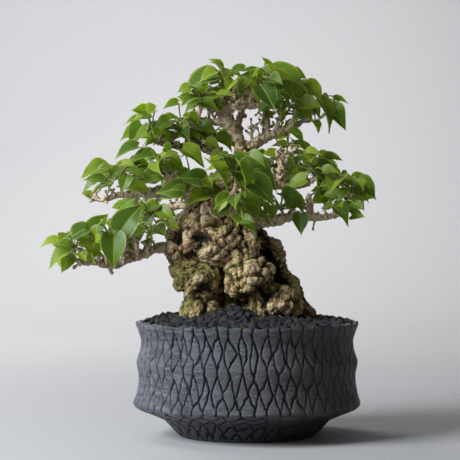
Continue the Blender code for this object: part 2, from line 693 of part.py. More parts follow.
def clear_leaf(taken, blade_room, start, base, tip, hint):
    """Moves a leaf back or forward in small steps until it clears what is in place already."""
    for step in range(14):
        shift = FRONT * ((step + 1) // 2) * 2.2 * TREE_MM
        if step % 2:
            shift = -shift
        trial = bmesh.new()
        stalk = start.lerp(base + shift, 0.35)
        leaf_shells(trial, blade_room, stalk, base + shift, tip + shift, hint, PETIOLE_RADIUS * 2)
        surface = surface_of(trial)
        if clear_of(surface, taken):
            return base + shift, tip + shift, surface
    return None


def clear_stem(taken, lines, centre):
    """The nearest way from a branch's centre lines towards a shoot's centre that is free."""
    places = []
    for line in lines:
        for start, end in zip(line, line[1:]):
            for share in (0.1, 0.3, 0.5, 0.7, 0.9):
                places.append(tree_point(start).lerp(tree_point(end), share))
    places.sort(key=lambda place: (centre - place).length)
    for rooted in places:
        start = rooted + (centre - rooted).normalized() * TREE_MM
        end = rooted.lerp(centre, 0.7)
        trial = bmesh.new()
        rod(trial, start, end, SHOOT_RADIUS * 2, SHOOT_RADIUS * 2, 5)
        surface = surface_of(trial)
        if clear_of(surface, taken):
            return start, end, surface
    raise RuntimeError("no free way for a shoot's stem")


def make_shoot(name, branch, leaves, shapes, surfaces, collections, look, room):
    """One leafy shoot: a green stem joined with its stalked leaves."""
    blade, blade_room = shapes
    parts, cutters = collections
    centre = sum((tree_point(base) for base, _, _ in leaves), Vector()) / len(leaves)
    others = [surface for owner, surface in surfaces if owner != branch]
    lines = next(wood for other, _, wood in BRANCHES if other == branch)
    rooted, end, stem_surface = clear_stem(others, lines, centre)
    stem = bmesh.new()
    rod(stem, rooted, end, SHOOT_RADIUS * 1.3, SHOOT_RADIUS, 4)
    shells = bmesh.new()
    for number, (base, tip, face) in enumerate(leaves):
        base, tip = tree_point(base), tree_point(tip)
        outward = FRONT if face is not None else Vector((base.x, base.y, 0)).normalized()
        turned_out = 0.35 if face is None else face
        hint = UP * (1 - turned_out) + outward * turned_out
        start = rooted.lerp(end, 0.55 + 0.4 * (number + 1) / len(leaves))
        taken = [surface for _, surface in surfaces]
        placed = clear_leaf(taken, blade_room, start, base, tip, hint)
        if placed is None:
            print("no room for leaf", number, "of", name)
            continue
        base, tip, surface = placed
        surfaces.append((name, surface))
        leaf_shells(shells, blade, start, base, tip, hint, PETIOLE_RADIUS)
    surfaces.append((name, stem_surface))
    stem_mesh = bpy.data.meshes.new(name)
    stem.to_mesh(stem_mesh)
    stem.free()
    leaf_mesh = bpy.data.meshes.new(name + "_leaves")
    shells.to_mesh(leaf_mesh)
    shells.free()
    shoot = add_object(name, stem_mesh, parts, look)
    helper = hide_helper(add_object(name + "_leaves", leaf_mesh, cutters))
    add_boolean(shoot, "UNION", helper, use_self=True)
    add_boolean(shoot, "DIFFERENCE", room)


def make_shoots(parts, cutters, rooms):
    look = material("leaf_green", (0.13, 0.33, 0.05), 0.45)
    shapes = blade_shape(LEAF_THICKNESS), blade_shape(LEAF_ROOM)
    surfaces = []
    for woody in ["trunk", *(name for name, _, _ in BRANCHES)]:
        shells = bmesh.new()
        shells.from_mesh(evaluated_mesh(bpy.data.objects[woody]))
        surfaces.append((woody, surface_of(shells)))
    filling = [
        (name, branch, filling_leaves(name, centre, count))
        for name, branch, centre, count in FILLING_SHOOTS
    ]
    for name, branch, leaves in SHOOTS + filling:
        make_shoot(
            "shoot_" + name, branch, leaves, shapes, surfaces, (parts, cutters), look,
            rooms[branch],
        )


def main():
    for old in list(bpy.data.objects):
        bpy.data.objects.remove(old)
    parts = bpy.data.collections.new("bonsai_tree_in_pot")
    cutters = bpy.data.collections.new("cutters")
    for collection in (parts, cutters):
        bpy.context.scene.collection.children.link(collection)
    make_pot(parts, cutters)
    pockets = make_screens(parts, cutters)
    trunk = make_trunk(parts)
    trunk_room = clearance_of(trunk, cutters, GRAFT_GAP * TREE_MM)
    make_soil(parts, clearance_of(trunk, cutters, ROOT_GAP * TREE_MM), pockets)
    rooms = make_branches(parts, cutters, trunk_room)
    make_shoots(parts, cutters, rooms)
    for piece in parts.objects:
        piece.data.shade_smooth()


main()
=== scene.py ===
import json
import math
import random

import bmesh
import bpy
import numpy as np
from bpy.props import FloatProperty, FloatVectorProperty, IntProperty, PointerProperty
from mathutils import Matrix, Vector, noise
from mathutils.bvhtree import BVHTree

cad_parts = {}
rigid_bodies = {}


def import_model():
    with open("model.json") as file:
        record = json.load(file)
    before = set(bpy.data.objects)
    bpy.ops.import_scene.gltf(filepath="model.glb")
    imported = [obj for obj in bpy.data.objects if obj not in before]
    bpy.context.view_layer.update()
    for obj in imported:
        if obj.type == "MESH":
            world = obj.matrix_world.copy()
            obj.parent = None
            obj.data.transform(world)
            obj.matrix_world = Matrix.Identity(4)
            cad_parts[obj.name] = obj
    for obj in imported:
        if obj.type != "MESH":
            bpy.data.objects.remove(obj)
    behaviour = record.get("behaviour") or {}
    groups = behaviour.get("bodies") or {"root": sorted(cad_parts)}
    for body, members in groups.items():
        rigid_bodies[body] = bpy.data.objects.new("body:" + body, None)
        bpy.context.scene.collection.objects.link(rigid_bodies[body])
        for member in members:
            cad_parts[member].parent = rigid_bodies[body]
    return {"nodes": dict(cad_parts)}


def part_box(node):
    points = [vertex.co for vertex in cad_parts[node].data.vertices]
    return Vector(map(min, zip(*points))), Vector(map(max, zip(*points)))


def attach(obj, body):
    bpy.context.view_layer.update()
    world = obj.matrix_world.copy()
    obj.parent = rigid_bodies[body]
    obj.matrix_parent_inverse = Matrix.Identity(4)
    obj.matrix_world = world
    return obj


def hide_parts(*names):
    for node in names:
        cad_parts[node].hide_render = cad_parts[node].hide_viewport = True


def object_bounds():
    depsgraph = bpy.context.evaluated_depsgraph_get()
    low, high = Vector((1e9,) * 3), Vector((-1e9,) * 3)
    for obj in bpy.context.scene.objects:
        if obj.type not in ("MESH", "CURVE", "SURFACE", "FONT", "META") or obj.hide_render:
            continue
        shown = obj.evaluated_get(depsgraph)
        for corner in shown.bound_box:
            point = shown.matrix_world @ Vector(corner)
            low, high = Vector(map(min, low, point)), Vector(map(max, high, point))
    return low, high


bl_info = {
    "name": "Bonsai tree in a pot",
    "version": (1, 0, 0),
    "blender": (4, 5, 0),
    "location": "View3D > Sidebar > Bonsai",
    "description": "Builds a gnarled bonsai tree in a carved stoneware pot",
    "category": "Object",
}

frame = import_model()
CAD_BOX = [list(corner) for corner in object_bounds()]

MM = 0.001
_, POT_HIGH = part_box("pot")
RIM = POT_HIGH.z
RADIUS = POT_HIGH.x
DRAWN_TOP = 173.1  # crown above the rim in the tree's own millimetres
TREE_MM = (CAD_BOX[1][2] - RIM) / DRAWN_TOP
SOIL_LINE = Vector((0, 0, RIM))
UP = Vector((0, 0, 1))
FRONT = Vector((0, -1, 0))
TAU = math.tau

# The pot's outside from rim to foot and its inside from rim to floor, as (radius, height) in mm.
OUTSIDE = [
    (72.6, 74.7), (73.4, 73.9), (71.4, 69), (69.5, 63), (69.9, 57), (71.5, 51.6), (72.5, 49.2),
    (72.3, 46.5), (71.2, 40), (71.1, 35), (72.5, 27.6), (74.8, 21), (72.4, 18.3), (62.8, 14.5),
    (54.8, 10.9), (48.6, 4), (44, 0),
]
INSIDE = [(68.2, 74.7), (67.4, 73.9), (64.2, 62), (64.2, 28.2), (53.3, 16.9), (41, 7)]
FLOOR = 7
POT_SIDES = 820
DRAIN_HOLES = 3
DRAIN_RADIUS = 5
DRAIN_CIRCLE = 24
# How far the two cuts of a pair stand apart, in pitches, by the way down from the rim in mm.
NET_WAY = [0, 6, 17, 20, 29, 33, 42, 45, 53, 58, 64, 68, 74, 77, 83, 86, 94]
NET_SPREAD = [0, 0, .5, .5, 0, 0, .5, .5, 0, 0, .5, .5, 0, 0, .5, .5, 0]
# Below the sharp ledge the net has fewer and wider cuts, as shares of those above, and they
# slant by so many pitches per mm.
LEDGE_WAY = 57.5
CUTS_BELOW = 0.6
WIDTH_BELOW = 2.6
SLANT_BELOW = 0.035
# The cuts are shallower at the right, where the clay was smoothed: heading, spread, share.
SMOOTHED = (-0.45, 0.75, 0.55)
FOOT_WAY = 92.5  # where the carving has run out

# Lava dressing: how many shapes its stones have, their corners, and the bed under them.
STONE_KINDS = 9
STONE_CORNERS = 22
BED_DEPTH = 9 * MM

# How finely the lumps of the trunk and of a branch are grown together, and how rugged they are.
TRUNK_VOXEL, BRANCH_VOXEL = 0.72 * MM, 0.5 * MM
TRUNK_RUGGED, BRANCH_RUGGED = 1.1 * MM, 0.25 * MM
# Knobs: size, height and share in the painted shade of the creases and the painted light of the
# knob tops. The trunk's heights are in "Knobs".
TRUNK_KNOBS = [(15 * MM, 1.15, 0.32), (7.5 * MM, 0.5, 0.26), (3.4 * MM, 0.18, 0.2)]
BRANCH_KNOBS = [(6 * MM, 0.5 * MM, 0.1), (2.6 * MM, 0.22 * MM, 0.1)]

# The tables below are in the tree's own millimetres, from the middle of the rim's plane.
# Trunk: rounded lumps as (x, y, z), (half width, half depth, half height).
LUMPS = [
    ((-22, 2, 55), (30, 30, 21)),
    ((-16, 0, 72), (24, 22, 13)),
    ((-9, 1, 88), (15, 14, 11)),
    ((-43, -6, 47), (11, 14, 10)),
    ((-39, -4, 36), (11, 14, 10)),
    ((-33, -12, 28), (14, 14, 12)),
    ((-31, -8, 9), (12.5, 13, 10)),
    ((1, -18, 29), (16, 15, 15)),
    ((18, -15, 12), (17, 15, 12)),
    ((-2, -13, 51), (11, 12, 13)),
    ((8, -22, 6), (9, 9, 8)),
    ((14, 18, 36), (12, 11, 20)),
    ((-31, 20, 57), (20, 16, 17)),
    ((-4, 22, 45), (20, 14, 20)),
    ((-17, 14, 19), (24, 20, 20)),
    ((17, 14, 14), (19, 15, 18)),
    ((-4, 0, 2), (36, 24, 10)),
]

# Woody stretches as points (x, y, z, radius) along their centre lines.
BUTTRESS = [
    (5, 4, 62, 3.8), (14, 5, 50, 3.8), (19, 5, 41, 4), (23, 4, 32, 4.6), (29, 3, 24, 5.8),
    (32, 2, 16, 6.2), (36, 0, 9, 6.6), (41, 0, 0, 6.4),
]
UPPER_TRUNK = [
    (-6, 0, 76, 12), (-1, 1, 85, 10), (1, 2, 94, 7.4), (-1, 3, 102, 5.6), (-3, 4, 109, 4.8),
    (-1, 4, 115, 4.6),
]

# The centre lines of each limb and branch, the main one first.
BRANCHES = {
    "limb_crown_left": [
        [(-2, 4, 114, 2.8), (-6, 3, 121, 3.8), (-11, 1, 130, 3.6), (-14, -1, 137, 3.4),
         (-9, -3, 141, 3.2), (-3, -3, 142, 3), (5, -2, 142, 2.8), (12, -1, 142, 2.2),
         (18, 0, 141, 1.6)],
        [(-12, 1, 132, 2.4), (-22, 3, 131, 2.2), (-31, 3, 132, 1.8), (-39, 2, 130, 1.2)],
        [(-14, -1, 137, 2.4), (-23, -2, 141, 1.9), (-32, -3, 143, 1.5), (-38, -4, 144, 1)],
        [(-9, -3, 141, 2), (-10, -4, 149, 1.6), (-13, -5, 156, 1.1)],
        [(2, -2, 142, 2), (4, -3, 150, 1.5), (6, -4, 157, 1)],
    ],
    "limb_crown_right": [
        [(0, 4, 113, 2.8), (6, 6, 117, 3.5), (12, 7, 121, 3.2), (19, 8, 124, 2.7),
         (27, 9, 126, 2.2), (34, 10, 130, 1.8), (41, 10, 136, 1.4), (47, 9, 139, 1)],
        [(12, 7, 121, 2.6), (13, 9, 130, 2.3), (13, 11, 138, 2), (14, 12, 147, 1.4)],
        [(19, 8, 124, 1.8), (21, 8, 132, 1.5), (25, 9, 140, 1.2), (27, 9, 147, 0.9)],
        [(27, 9, 126, 1.6), (31, 6, 134, 1.3), (33, 4, 142, 1)],
    ],
    "branch_crown_back": [
        [(-6, 4, 120, 2.2), (-5, 24, 135, 2.2), (0, 38, 147, 1.3)],
    ],
    "branch_upper_left": [
        [(-3, 5, 104, 3.4), (-13, 9, 108, 3.2), (-23, 7, 112, 2.9), (-34, 4, 116, 2.6),
         (-44, 0, 115, 2.2), (-54, -3, 116, 1.8), (-62, -6, 119, 1.3)],
        [(-34, 4, 116, 1.6), (-38, 3, 123, 1.3), (-43, 1, 130, 1)],
    ],
    "branch_mid_left": [
        [(-14, -4, 80, 4.8), (-36, -12, 84, 4.2), (-49, -18, 85, 3.8), (-61, -22, 84, 3.2),
         (-74, -25, 83, 2.6), (-84, -27, 82, 2), (-92, -29, 79, 1.6), (-96, -30, 80, 1.2),
         (-98, -30, 84, 0.9)],
        [(-49, -18, 85, 2), (-51, -20, 93, 1.6), (-53, -22, 99, 1.1)],
        [(-74, -25, 83, 1.6), (-76, -27, 89, 1.3), (-80, -29, 93, 1)],
    ],
    "branch_low_left": [
        [(-42, -6, 50, 3.6), (-58, -12, 48, 3.1), (-68, -15, 44, 2.7), (-79, -19, 40, 2.5),
         (-89, -22, 37, 2.3), (-97, -25, 39, 2), (-105, -27, 39, 1.7), (-110, -28, 41, 1.3),
         (-112, -28, 44, 1)],
        [(-79, -19, 40, 1.5), (-80, -19, 46, 1.3), (-82, -20, 52, 1)],
        [(-71, -16, 43, 1.7), (-72, -16, 51, 1.4), (-74, -17, 59, 1)],
        [(-67, -14, 45, 1.6), (-65, -13, 53, 1.2)],
    ],
    "branch_low_right": [
        [(0, -5, 66, 5), (16, -10, 66, 4), (27, -12, 68, 3), (37, -12, 68, 2.6),
         (47, -11, 68, 2.3), (57, -9, 69, 1.8), (65, -8, 71, 1.2)],
        [(40, -12, 68, 2.3), (41, -10, 76, 2.2), (40, -8, 82, 1.6)],
        [(57, -9, 69, 1.5), (64, -8, 76, 1.2), (69, -7, 83, 0.9)],
    ],
    "branch_mid_right": [
        [(-1, 2, 84, 4.4), (10, 4, 89, 3.8), (18, 6, 90, 3.2), (27, 8, 89, 2.8),
         (36, 9, 90, 2.4), (45, 9, 94, 1.7), (50, 8, 99, 1.1)],
        [(21, 6, 90, 2.2), (22, 6, 101, 1.9), (25, 6, 108, 1.8), (23, 6, 115, 1.2)],
    ],
    "branch_front": [
        [(-7, -8, 72, 3.4), (-10, -26, 81, 2.6), (-8, -36, 85, 2), (-7, -42, 89, 1.2)],
    ],
    "branch_back_left": [
        [(-16, 8, 74, 3.8), (-34, 34, 77, 3), (-51, 46, 76, 2.5), (-65, 52, 71, 1.9),
         (-73, 52, 63, 1.2)],
    ],
    "branch_back_right": [
        [(-3, 6, 87, 3.4), (10, 30, 95, 2.6), (23, 44, 97, 2), (37, 52, 100, 1.3)],
    ],
}

# Leafy shoot: name, its branch, and its leaves. A leaf is its blade's base and tip, the share
# of its width that is seen from in front, and its tone from old (0) to young (1), if not drawn.
SHOOTS = [
    ("low_left_tip", "branch_low_left", [
        ((-103, -30, 61), (-118, -33, 53), 0.7),
        ((-113, -32, 47), (-128, -36, 37), 0.5),
        ((-113, -35, 43), (-120, -38, 33), 0.95),
        ((-105, -28, 46), (-106, -30, 38), 0.8),
        ((-118, -27, 53), (-121, -28, 48), 0.8),
    ]),
    ("low_left_inner", "branch_low_left", [
        ((-100, -28, 59), (-89, -26, 71), 0.95, 0.4),
        ((-85, -38, 57), (-85, -42, 35), 1.0, 0.45),
        ((-81, -32, 59), (-68, -34, 78), 0.95, 0.3),
        ((-101, -24, 53), (-104, -25, 46), 0.9),
    ]),
    ("mid_left_tip", "branch_mid_left", [
        ((-90, -32, 99), (-107, -36, 94), 0.55),
        ((-81, -37, 99), (-88, -40, 91), 0.85),
        ((-76, -40, 94), (-80, -44, 83), 0.95),
        ((-69, -30, 103), (-80, -32, 97), 0.55),
        ((-100, -30, 82), (-106, -32, 84), 0.9),
    ]),
    ("mid_left_upper", "branch_mid_left", [
        ((-70, -24, 113), (-86, -28, 107), 0.45),
        ((-60, -30, 107), (-76, -34, 104), 0.4),
        ((-55, -34, 95), (-71, -38, 94), 0.8),
        ((-45, -22, 108), (-59, -27, 103), 0.4),
    ]),
    ("mid_left_front", "branch_mid_left", [
        ((-42, -38, 87), (-57, -44, 84), 1.0, 0.5),
        ((-28, -34, 92), (-44, -42, 94), 0.9, 0.2),
        ((-42, -26, 112), (-27, -30, 101), 0.5),
        ((-27, -32, 81), (-40, -38, 77), 0.6),
        ((-20, -30, 83), (-30, -34, 81), 0.5),
    ]),
    ("upper_left_tip", "branch_upper_left", [
        ((-60, -8, 138), (-75, -11, 133), 0.5),
        ((-64, -3, 133), (-81, -5, 132), 0.1),
        ((-68, -14, 128), (-77, -18, 114), 0.9),
        ((-60, -10, 119), (-67, -12, 115), 0.7),
    ]),
    ("upper_left_inner", "branch_upper_left", [
        ((-45, -2, 143), (-55, -6, 140), 0.65),
        ((-50, -10, 131), (-61, -14, 125), 0.8),
        ((-59, -7, 125), (-49, -10, 119), 0.5),
        ((-46, -8, 123), (-38, -11, 119), 0.5),
        ((-37, -6, 123), (-30, -9, 119), 0.5),
        ((-27, -6, 118), (-17, -9, 113), 0.6),
    ]),
    ("crown_left_low", "limb_crown_left", [
        ((-31, -10, 144), (-41, -14, 138), 0.7),
        ((-30, -13, 143), (-18, -16, 138), 0.7),
        ((-28, -2, 150), (-43, -4, 148), 0.3),
        ((-34, 2, 152), (-43, 1, 153), 0.2),
        ((-16, -10, 150), (-27, -14, 145), 0.75),
    ]),
    ("crown_left_top", "limb_crown_left", [
        ((-20, -6, 160), (-44, -11, 154), 0.45),
        ((-32, -12, 155), (-37, -14, 151), 0.6),
        ((-11, -4, 160), (-16, -6, 167), 0.8),
        ((-17, 0, 160), (-22, -1, 166), 0.7),
        ((-9, -14, 157), (-14, -19, 149), 0.85),
        ((-17, 1, 166), (-24, 0, 172), 0.4),
    ]),
    ("crown_top", "limb_crown_left", [
        ((7, -2, 162), (-3, -4, 167), 0.5),
        ((10, -9, 158), (-5, -10, 163), 0.6),
        ((0, -13, 157), (-7, -17, 151), 0.8),
        ((-1, -18, 157), (7, -22, 147), 0.25, 0.95),
        ((20, 0, 156), (12, -2, 158), 0.5),
    ]),
    ("crown_front", "limb_crown_left", [
        ((9, -20, 153), (18, -27, 137), 0.95, 0.15),
        ((23, -10, 156), (30, -14, 147), 0.7),
        ((3, -16, 149), (9, -19, 142), 0.6),
    ]),
    ("crown_right_top", "limb_crown_right", [
        ((16, 2, 164), (40, -6, 153), 0.6),
        ((39, 6, 157), (50, 0, 145), 0.7),
        ((29, -6, 153), (37, -11, 145), 0.8),
        ((23, 10, 164), (29, 7, 157), 0.5),
        ((14, 3, 164), (12, 2, 173), 0.9),
    ]),
    ("crown_right_tip", "limb_crown_right", [
        ((46, 1, 146), (58, -4, 126), 0.2, 0.8),
        ((54, 7, 141), (66, 1, 127), 0.85, 0.3),
        ((37, -2, 149), (43, -6, 140), 0.8),
        ((34, -5, 140), (44, -9, 132), 0.7),
        ((45, 2, 132), (48, 0, 124), 0.7),
    ]),
    ("front_centre", "branch_front", [
        ((-6, -52, 102), (3, -58, 83), 0.12, 0.9),
        ((-25, -49, 103), (-11, -55, 87), 0.25, 0.95),
        ((-11, -46, 106), (-1, -52, 87), 0.75, 0.45),
        ((-4, -43, 103), (21, -48, 89), 0.5, 0.5),
        ((1, -49, 91), (17, -55, 77), 0.75, 0.4),
    ]),
    ("front_low", "branch_front", [
        ((-16, -40, 80), (-19, -44, 71), 1.0, 0.95),
        ((-7, -44, 70), (6, -50, 59), 0.65, 0.6),
        ((0, -38, 77), (8, -44, 69), 0.7),
        ((-5, -40, 70), (-7, -44, 62), 0.9),
    ]),
    ("mid_right_shoot", "branch_mid_right", [
        ((28, 3, 125), (39, -1, 118), 0.45),
        ((27, 6, 125), (27, 6, 134), 0.9),
        ((31, 8, 110), (42, 4, 109), 0.1),
        ((36, 4, 109), (47, -1, 100), 0.6),
    ]),
    ("mid_right_tip", "branch_mid_right", [
        ((46, -5, 103), (58, -10, 89), 0.8, 0.1),
        ((49, -9, 94), (52, -14, 75), 0.8, 0.45),
        ((28, 4, 101), (35, 0, 95), 0.5),
    ]),
    ("low_right_inner", "branch_low_right", [
        ((22, -20, 84), (38, -25, 73), 0.5, 0.4),
        ((34, -22, 70), (34, -27, 57), 1.0, 0.12),
        ((15, -22, 75), (16, -26, 66), 0.9),
        ((9, -28, 82), (18, -32, 76), 0.5),
    ]),
    ("low_right_tip", "branch_low_right", [
        ((55, -18, 75), (67, -24, 65), 0.55),
        ((64, -10, 76), (71, -12, 70), 0.8),
        ((71, -9, 79), (77, -12, 74), 0.7),
        ((58, -15, 81), (66, -17, 88), 0.8),
    ]),
    ("low_right_upper", "branch_low_right", [
        ((62, -6, 95), (70, -10, 88), 0.5),
        ((65, -9, 86), (75, -12, 82), 0.25),
        ((73, -3, 92), (85, -8, 81), 0.75),
        ((57, -2, 99), (62, -4, 92), 0.7),
    ]),
    ("back_left_tip", "branch_back_left", [
        ((-75, 46, 82), (-89, 49, 75), 0.8),
        ((-61, 50, 78), (-71, 48, 71), 0.8),
        ((-60, 46, 60), (-71, 48, 56), 0.6),
        ((-65, 48, 54), (-68, 46, 50), 0.7),
    ]),
]

# A leaf takes up room for its blade and stalk, and a shoot for its stem. One that has no room
# moves back and forward in growing steps.
BLADE_ROOM = 0.05
STALK_ROOM = 0.7 * MM
STEM_ROOM = 1.8 * MM
ROOM_TRIES = 14
ROOM_STEP = 2.2 * TREE_MM

# Leafy shoots of the sides and the back: name, branch, centre of the leaves, leaf count.
FILLING_SHOOTS = [
    ("low_left_back", "branch_low_left", (-88, -8, 52), 4),
    ("low_left_shoulder", "branch_low_left", (-62, -4, 60), 3),
    ("mid_left_back", "branch_mid_left", (-84, -12, 94), 5),
    ("mid_left_shoulder", "branch_mid_left", (-56, -2, 97), 5),
    ("upper_left_back", "branch_upper_left", (-52, 12, 128), 5),
    ("upper_left_shoulder", "branch_upper_left", (-24, 22, 124), 5),
    ("crown_back_left", "branch_crown_back", (-20, 26, 152), 5),
    ("crown_back", "branch_crown_back", (6, 40, 157), 5),
    ("crown_back_right", "limb_crown_right", (30, 26, 152), 5),
    ("crown_right_back", "limb_crown_right", (50, 20, 143), 4),
    ("crown_right_low", "limb_crown_right", (28, -2, 142), 3),
    ("back_right_tip", "branch_back_right", (44, 58, 106), 5),
    ("back_right_shoulder", "branch_back_right", (16, 46, 106), 5),
    ("back_left_shoulder", "branch_back_left", (-42, 48, 90), 5),
    ("back_left_outer", "branch_back_left", (-76, 62, 76), 4),
    ("mid_right_back", "branch_mid_right", (46, 20, 104), 5),
    ("low_right_back", "branch_low_right", (62, 6, 90), 5),
]

YOUNG_PER_LEAF = 3
# Slim young leaves that stand up out of the crown.
SMALL_LEAVES = {
    "crown_left_top": [((-17, -10, 167), (-24, -12, 173), 0.3, 0.7)],
    "crown_top": [((15, -8, 164), (11, -10, 174), 0.35, 0.75)],
}

# Hollows between the knobs, pushed in and darkened with painted shade: place, reach and depth.
HOLLOWS = [
    ((-30, -26, 54), 5, 6), ((-19, -27, 65), 4, 6), ((-45, -14, 55), 4, 5),
    ((8, -2, 58), 4, 6), ((11, 0, 51), 4.5, 7), ((12, 2, 44), 4.5, 7), ((14, 4, 37), 4.5, 7),
    ((18, 3, 30), 4.5, 6), ((22, 0, 24), 4, 5), ((-14, -30, 22), 4, 5), ((1, -26, 11), 5, 6),
    ((-36, -20, 42), 3.5, 4), ((-14, -26, 40), 4.5, 5), ((12, -26, 18), 4.5, 5),
]

# Bare dead twigs that stand on a branch, as lines of tree points (x, y, z, radius).
DEAD_TWIGS = {
    "limb_crown_right": [[(4, 4, 117, 1.2), (3, 3, 124, 1), (7, 2, 129, 0.7)]],
    "branch_low_left": [[(-79, -25, 38, 1.6), (-80, -27, 48, 1.3), (-78, -28, 57, 0.9)],
                        [(-71, -23, 41, 1.7), (-71, -25, 50, 1.3), (-74, -26, 58, 1)],
                        [(-65, -21, 42, 1.5), (-64, -22, 51, 1)],
                        [(-90, -28, 36, 1.3), (-91, -29, 44, 0.9)]],
    "branch_mid_right": [[(24, 0, 100, 1.3), (21, -1, 108, 1.1), (19, -1, 112, 0.8)],
                         [(24, 0, 103, 1.1), (28, -2, 110, 0.9), (29, -2, 116, 0.7)]],
}

NO_MOSS = -0.2

# Spurs of a branch: spacing along it, usual length and radius.
USUAL_SPURS = (6, 4.5, 0.8)
SPURS = {
    "limb_crown_left": (1.5, 6.5, 0.8),
    "limb_crown_right": (1.9, 6, 0.75),
    "branch_upper_left": (1.8, 5.5, 0.8),
    "branch_mid_left": (2.2, 5.5, 0.8),
    "branch_low_left": (2.8, 5.5, 0.8),
    "branch_mid_right": (1.8, 5.5, 0.8),
    "branch_low_right": (2.4, 5.5, 0.75),
    "branch_crown_back": (3, 5, 0.8),
}


# Lights: name, place, aim, width, share of the key light's power, colour, spread in degrees.
MIDDLE = (-0.01, 0, 0.14)
LIGHTS = [
    ("window", (-1.05, -0.55, 0.75), MIDDLE, 0.8, 1.08, (0.89, 0.94, 1.0), 180),
    ("back_left", (-0.7, 0.9, 0.9), MIDDLE, 0.7, 0.25, (1, 0.98, 0.94), 180),
    ("wall_wash", (0.2, 0.3, 1.7), (-0.3, 1.7, 0.3), 1.2, 0.34, (1, 1, 1), 80),
]
SKY_COLOUR = (0.84, 0.81, 0.80, 1)
SKY_STRENGTH = 0.17
EYE = (-0.0112, -1.06, 0.1346)

# The floor runs back to the foot of the backdrop's curve, which is a quarter circle.
FLOOR_FRONT, FLOOR_BACK = -2.2, 1.1
CURVE = 0.7
STAGE_TOP = 3.0
STAGE_HALF = 3.5


class PotSettings(bpy.types.PropertyGroup):
    cuts: IntProperty(name="Cuts", description="Carved cells round the pot", default=58, min=12)
    depth: FloatProperty(name="Cut depth", description="How deep the net is carved",
                         default=1.7 * MM, unit="LENGTH", precision=5)
    width: FloatProperty(name="Cut width", description="Half width of a carved cut",
                         default=0.44 * MM, unit="LENGTH", precision=5)
    clay: FloatVectorProperty(name="Clay", description="Colour of the fired clay",
                              default=(0.042, 0.046, 0.058), subtype="COLOR")


class DressingSettings(bpy.types.PropertyGroup):
    grain: FloatProperty(name="Grain", description="Usual half width of a lava grain",
                         default=3.1 * MM, unit="LENGTH", precision=5)
    spacing: FloatProperty(name="Spacing", description="Least distance between grains of a layer",
                           default=4.3 * MM, unit="LENGTH", precision=5)
    lava: FloatVectorProperty(name="Lava", description="Colour of the lava grit",
                              default=(0.021, 0.0225, 0.027), subtype="COLOR")


class WoodSettings(bpy.types.PropertyGroup):
    knobs: FloatProperty(name="Knobs", description="Height of the trunk's largest knobs",
                         default=3.4 * MM, unit="LENGTH", precision=5)
    bark: FloatVectorProperty(name="Bark", description="Colour of weathered bark",
                              default=(0.43, 0.305, 0.14), subtype="COLOR")
    twig: FloatVectorProperty(name="Twig bark", description="Colour of the branches' bark",
                              default=(0.36, 0.265, 0.155), subtype="COLOR")
    moss: FloatVectorProperty(name="Moss", description="Colour of the moss on the trunk",
                              default=(0.26, 0.26, 0.045), subtype="COLOR")


class LeafSettings(bpy.types.PropertyGroup):
    old: FloatVectorProperty(name="Old leaf", description="Colour of a hardened leaf",
                             default=(0.026, 0.064, 0.016), subtype="COLOR")
    grown: FloatVectorProperty(name="Grown leaf", description="Colour of a grown leaf",
                               default=(0.084, 0.148, 0.014), subtype="COLOR")
    young: FloatVectorProperty(name="Young leaf", description="Colour of a fresh leaf",
                               default=(0.24, 0.31, 0.022), subtype="COLOR")
    stalk: FloatVectorProperty(name="Stalk", description="Colour of the leaf stalks",
                               default=(0.25, 0.28, 0.045), subtype="COLOR")


class StageSettings(bpy.types.PropertyGroup):
    backdrop: FloatVectorProperty(name="Backdrop", description="Colour of floor and backdrop",
                                  default=(0.45, 0.447, 0.455), subtype="COLOR")
    key: FloatProperty(name="Key light", description="Power of the large light on the left",
                       default=30, unit="POWER")
    lens: FloatProperty(name="Lens", description="Focal length of the camera", default=126,
                        unit="CAMERA")


SETTINGS = {
    "bonsai_pot": PotSettings,
    "bonsai_dressing": DressingSettings,
    "bonsai_wood": WoodSettings,
    "bonsai_leaves": LeafSettings,
    "bonsai_stage": StageSettings,
}


def add_node(tree, kind, inputs=None, **settings):
    """A new node with these settings, and each input linked or set, by its name or number."""
    made = tree.nodes.new(kind)
    for key, value in settings.items():
        setattr(made, key, value)
    for key, value in (inputs or {}).items():
        if isinstance(value, bpy.types.NodeSocket):
            tree.links.new(value, made.inputs[key])
        else:
            made.inputs[key].default_value = value
    return made


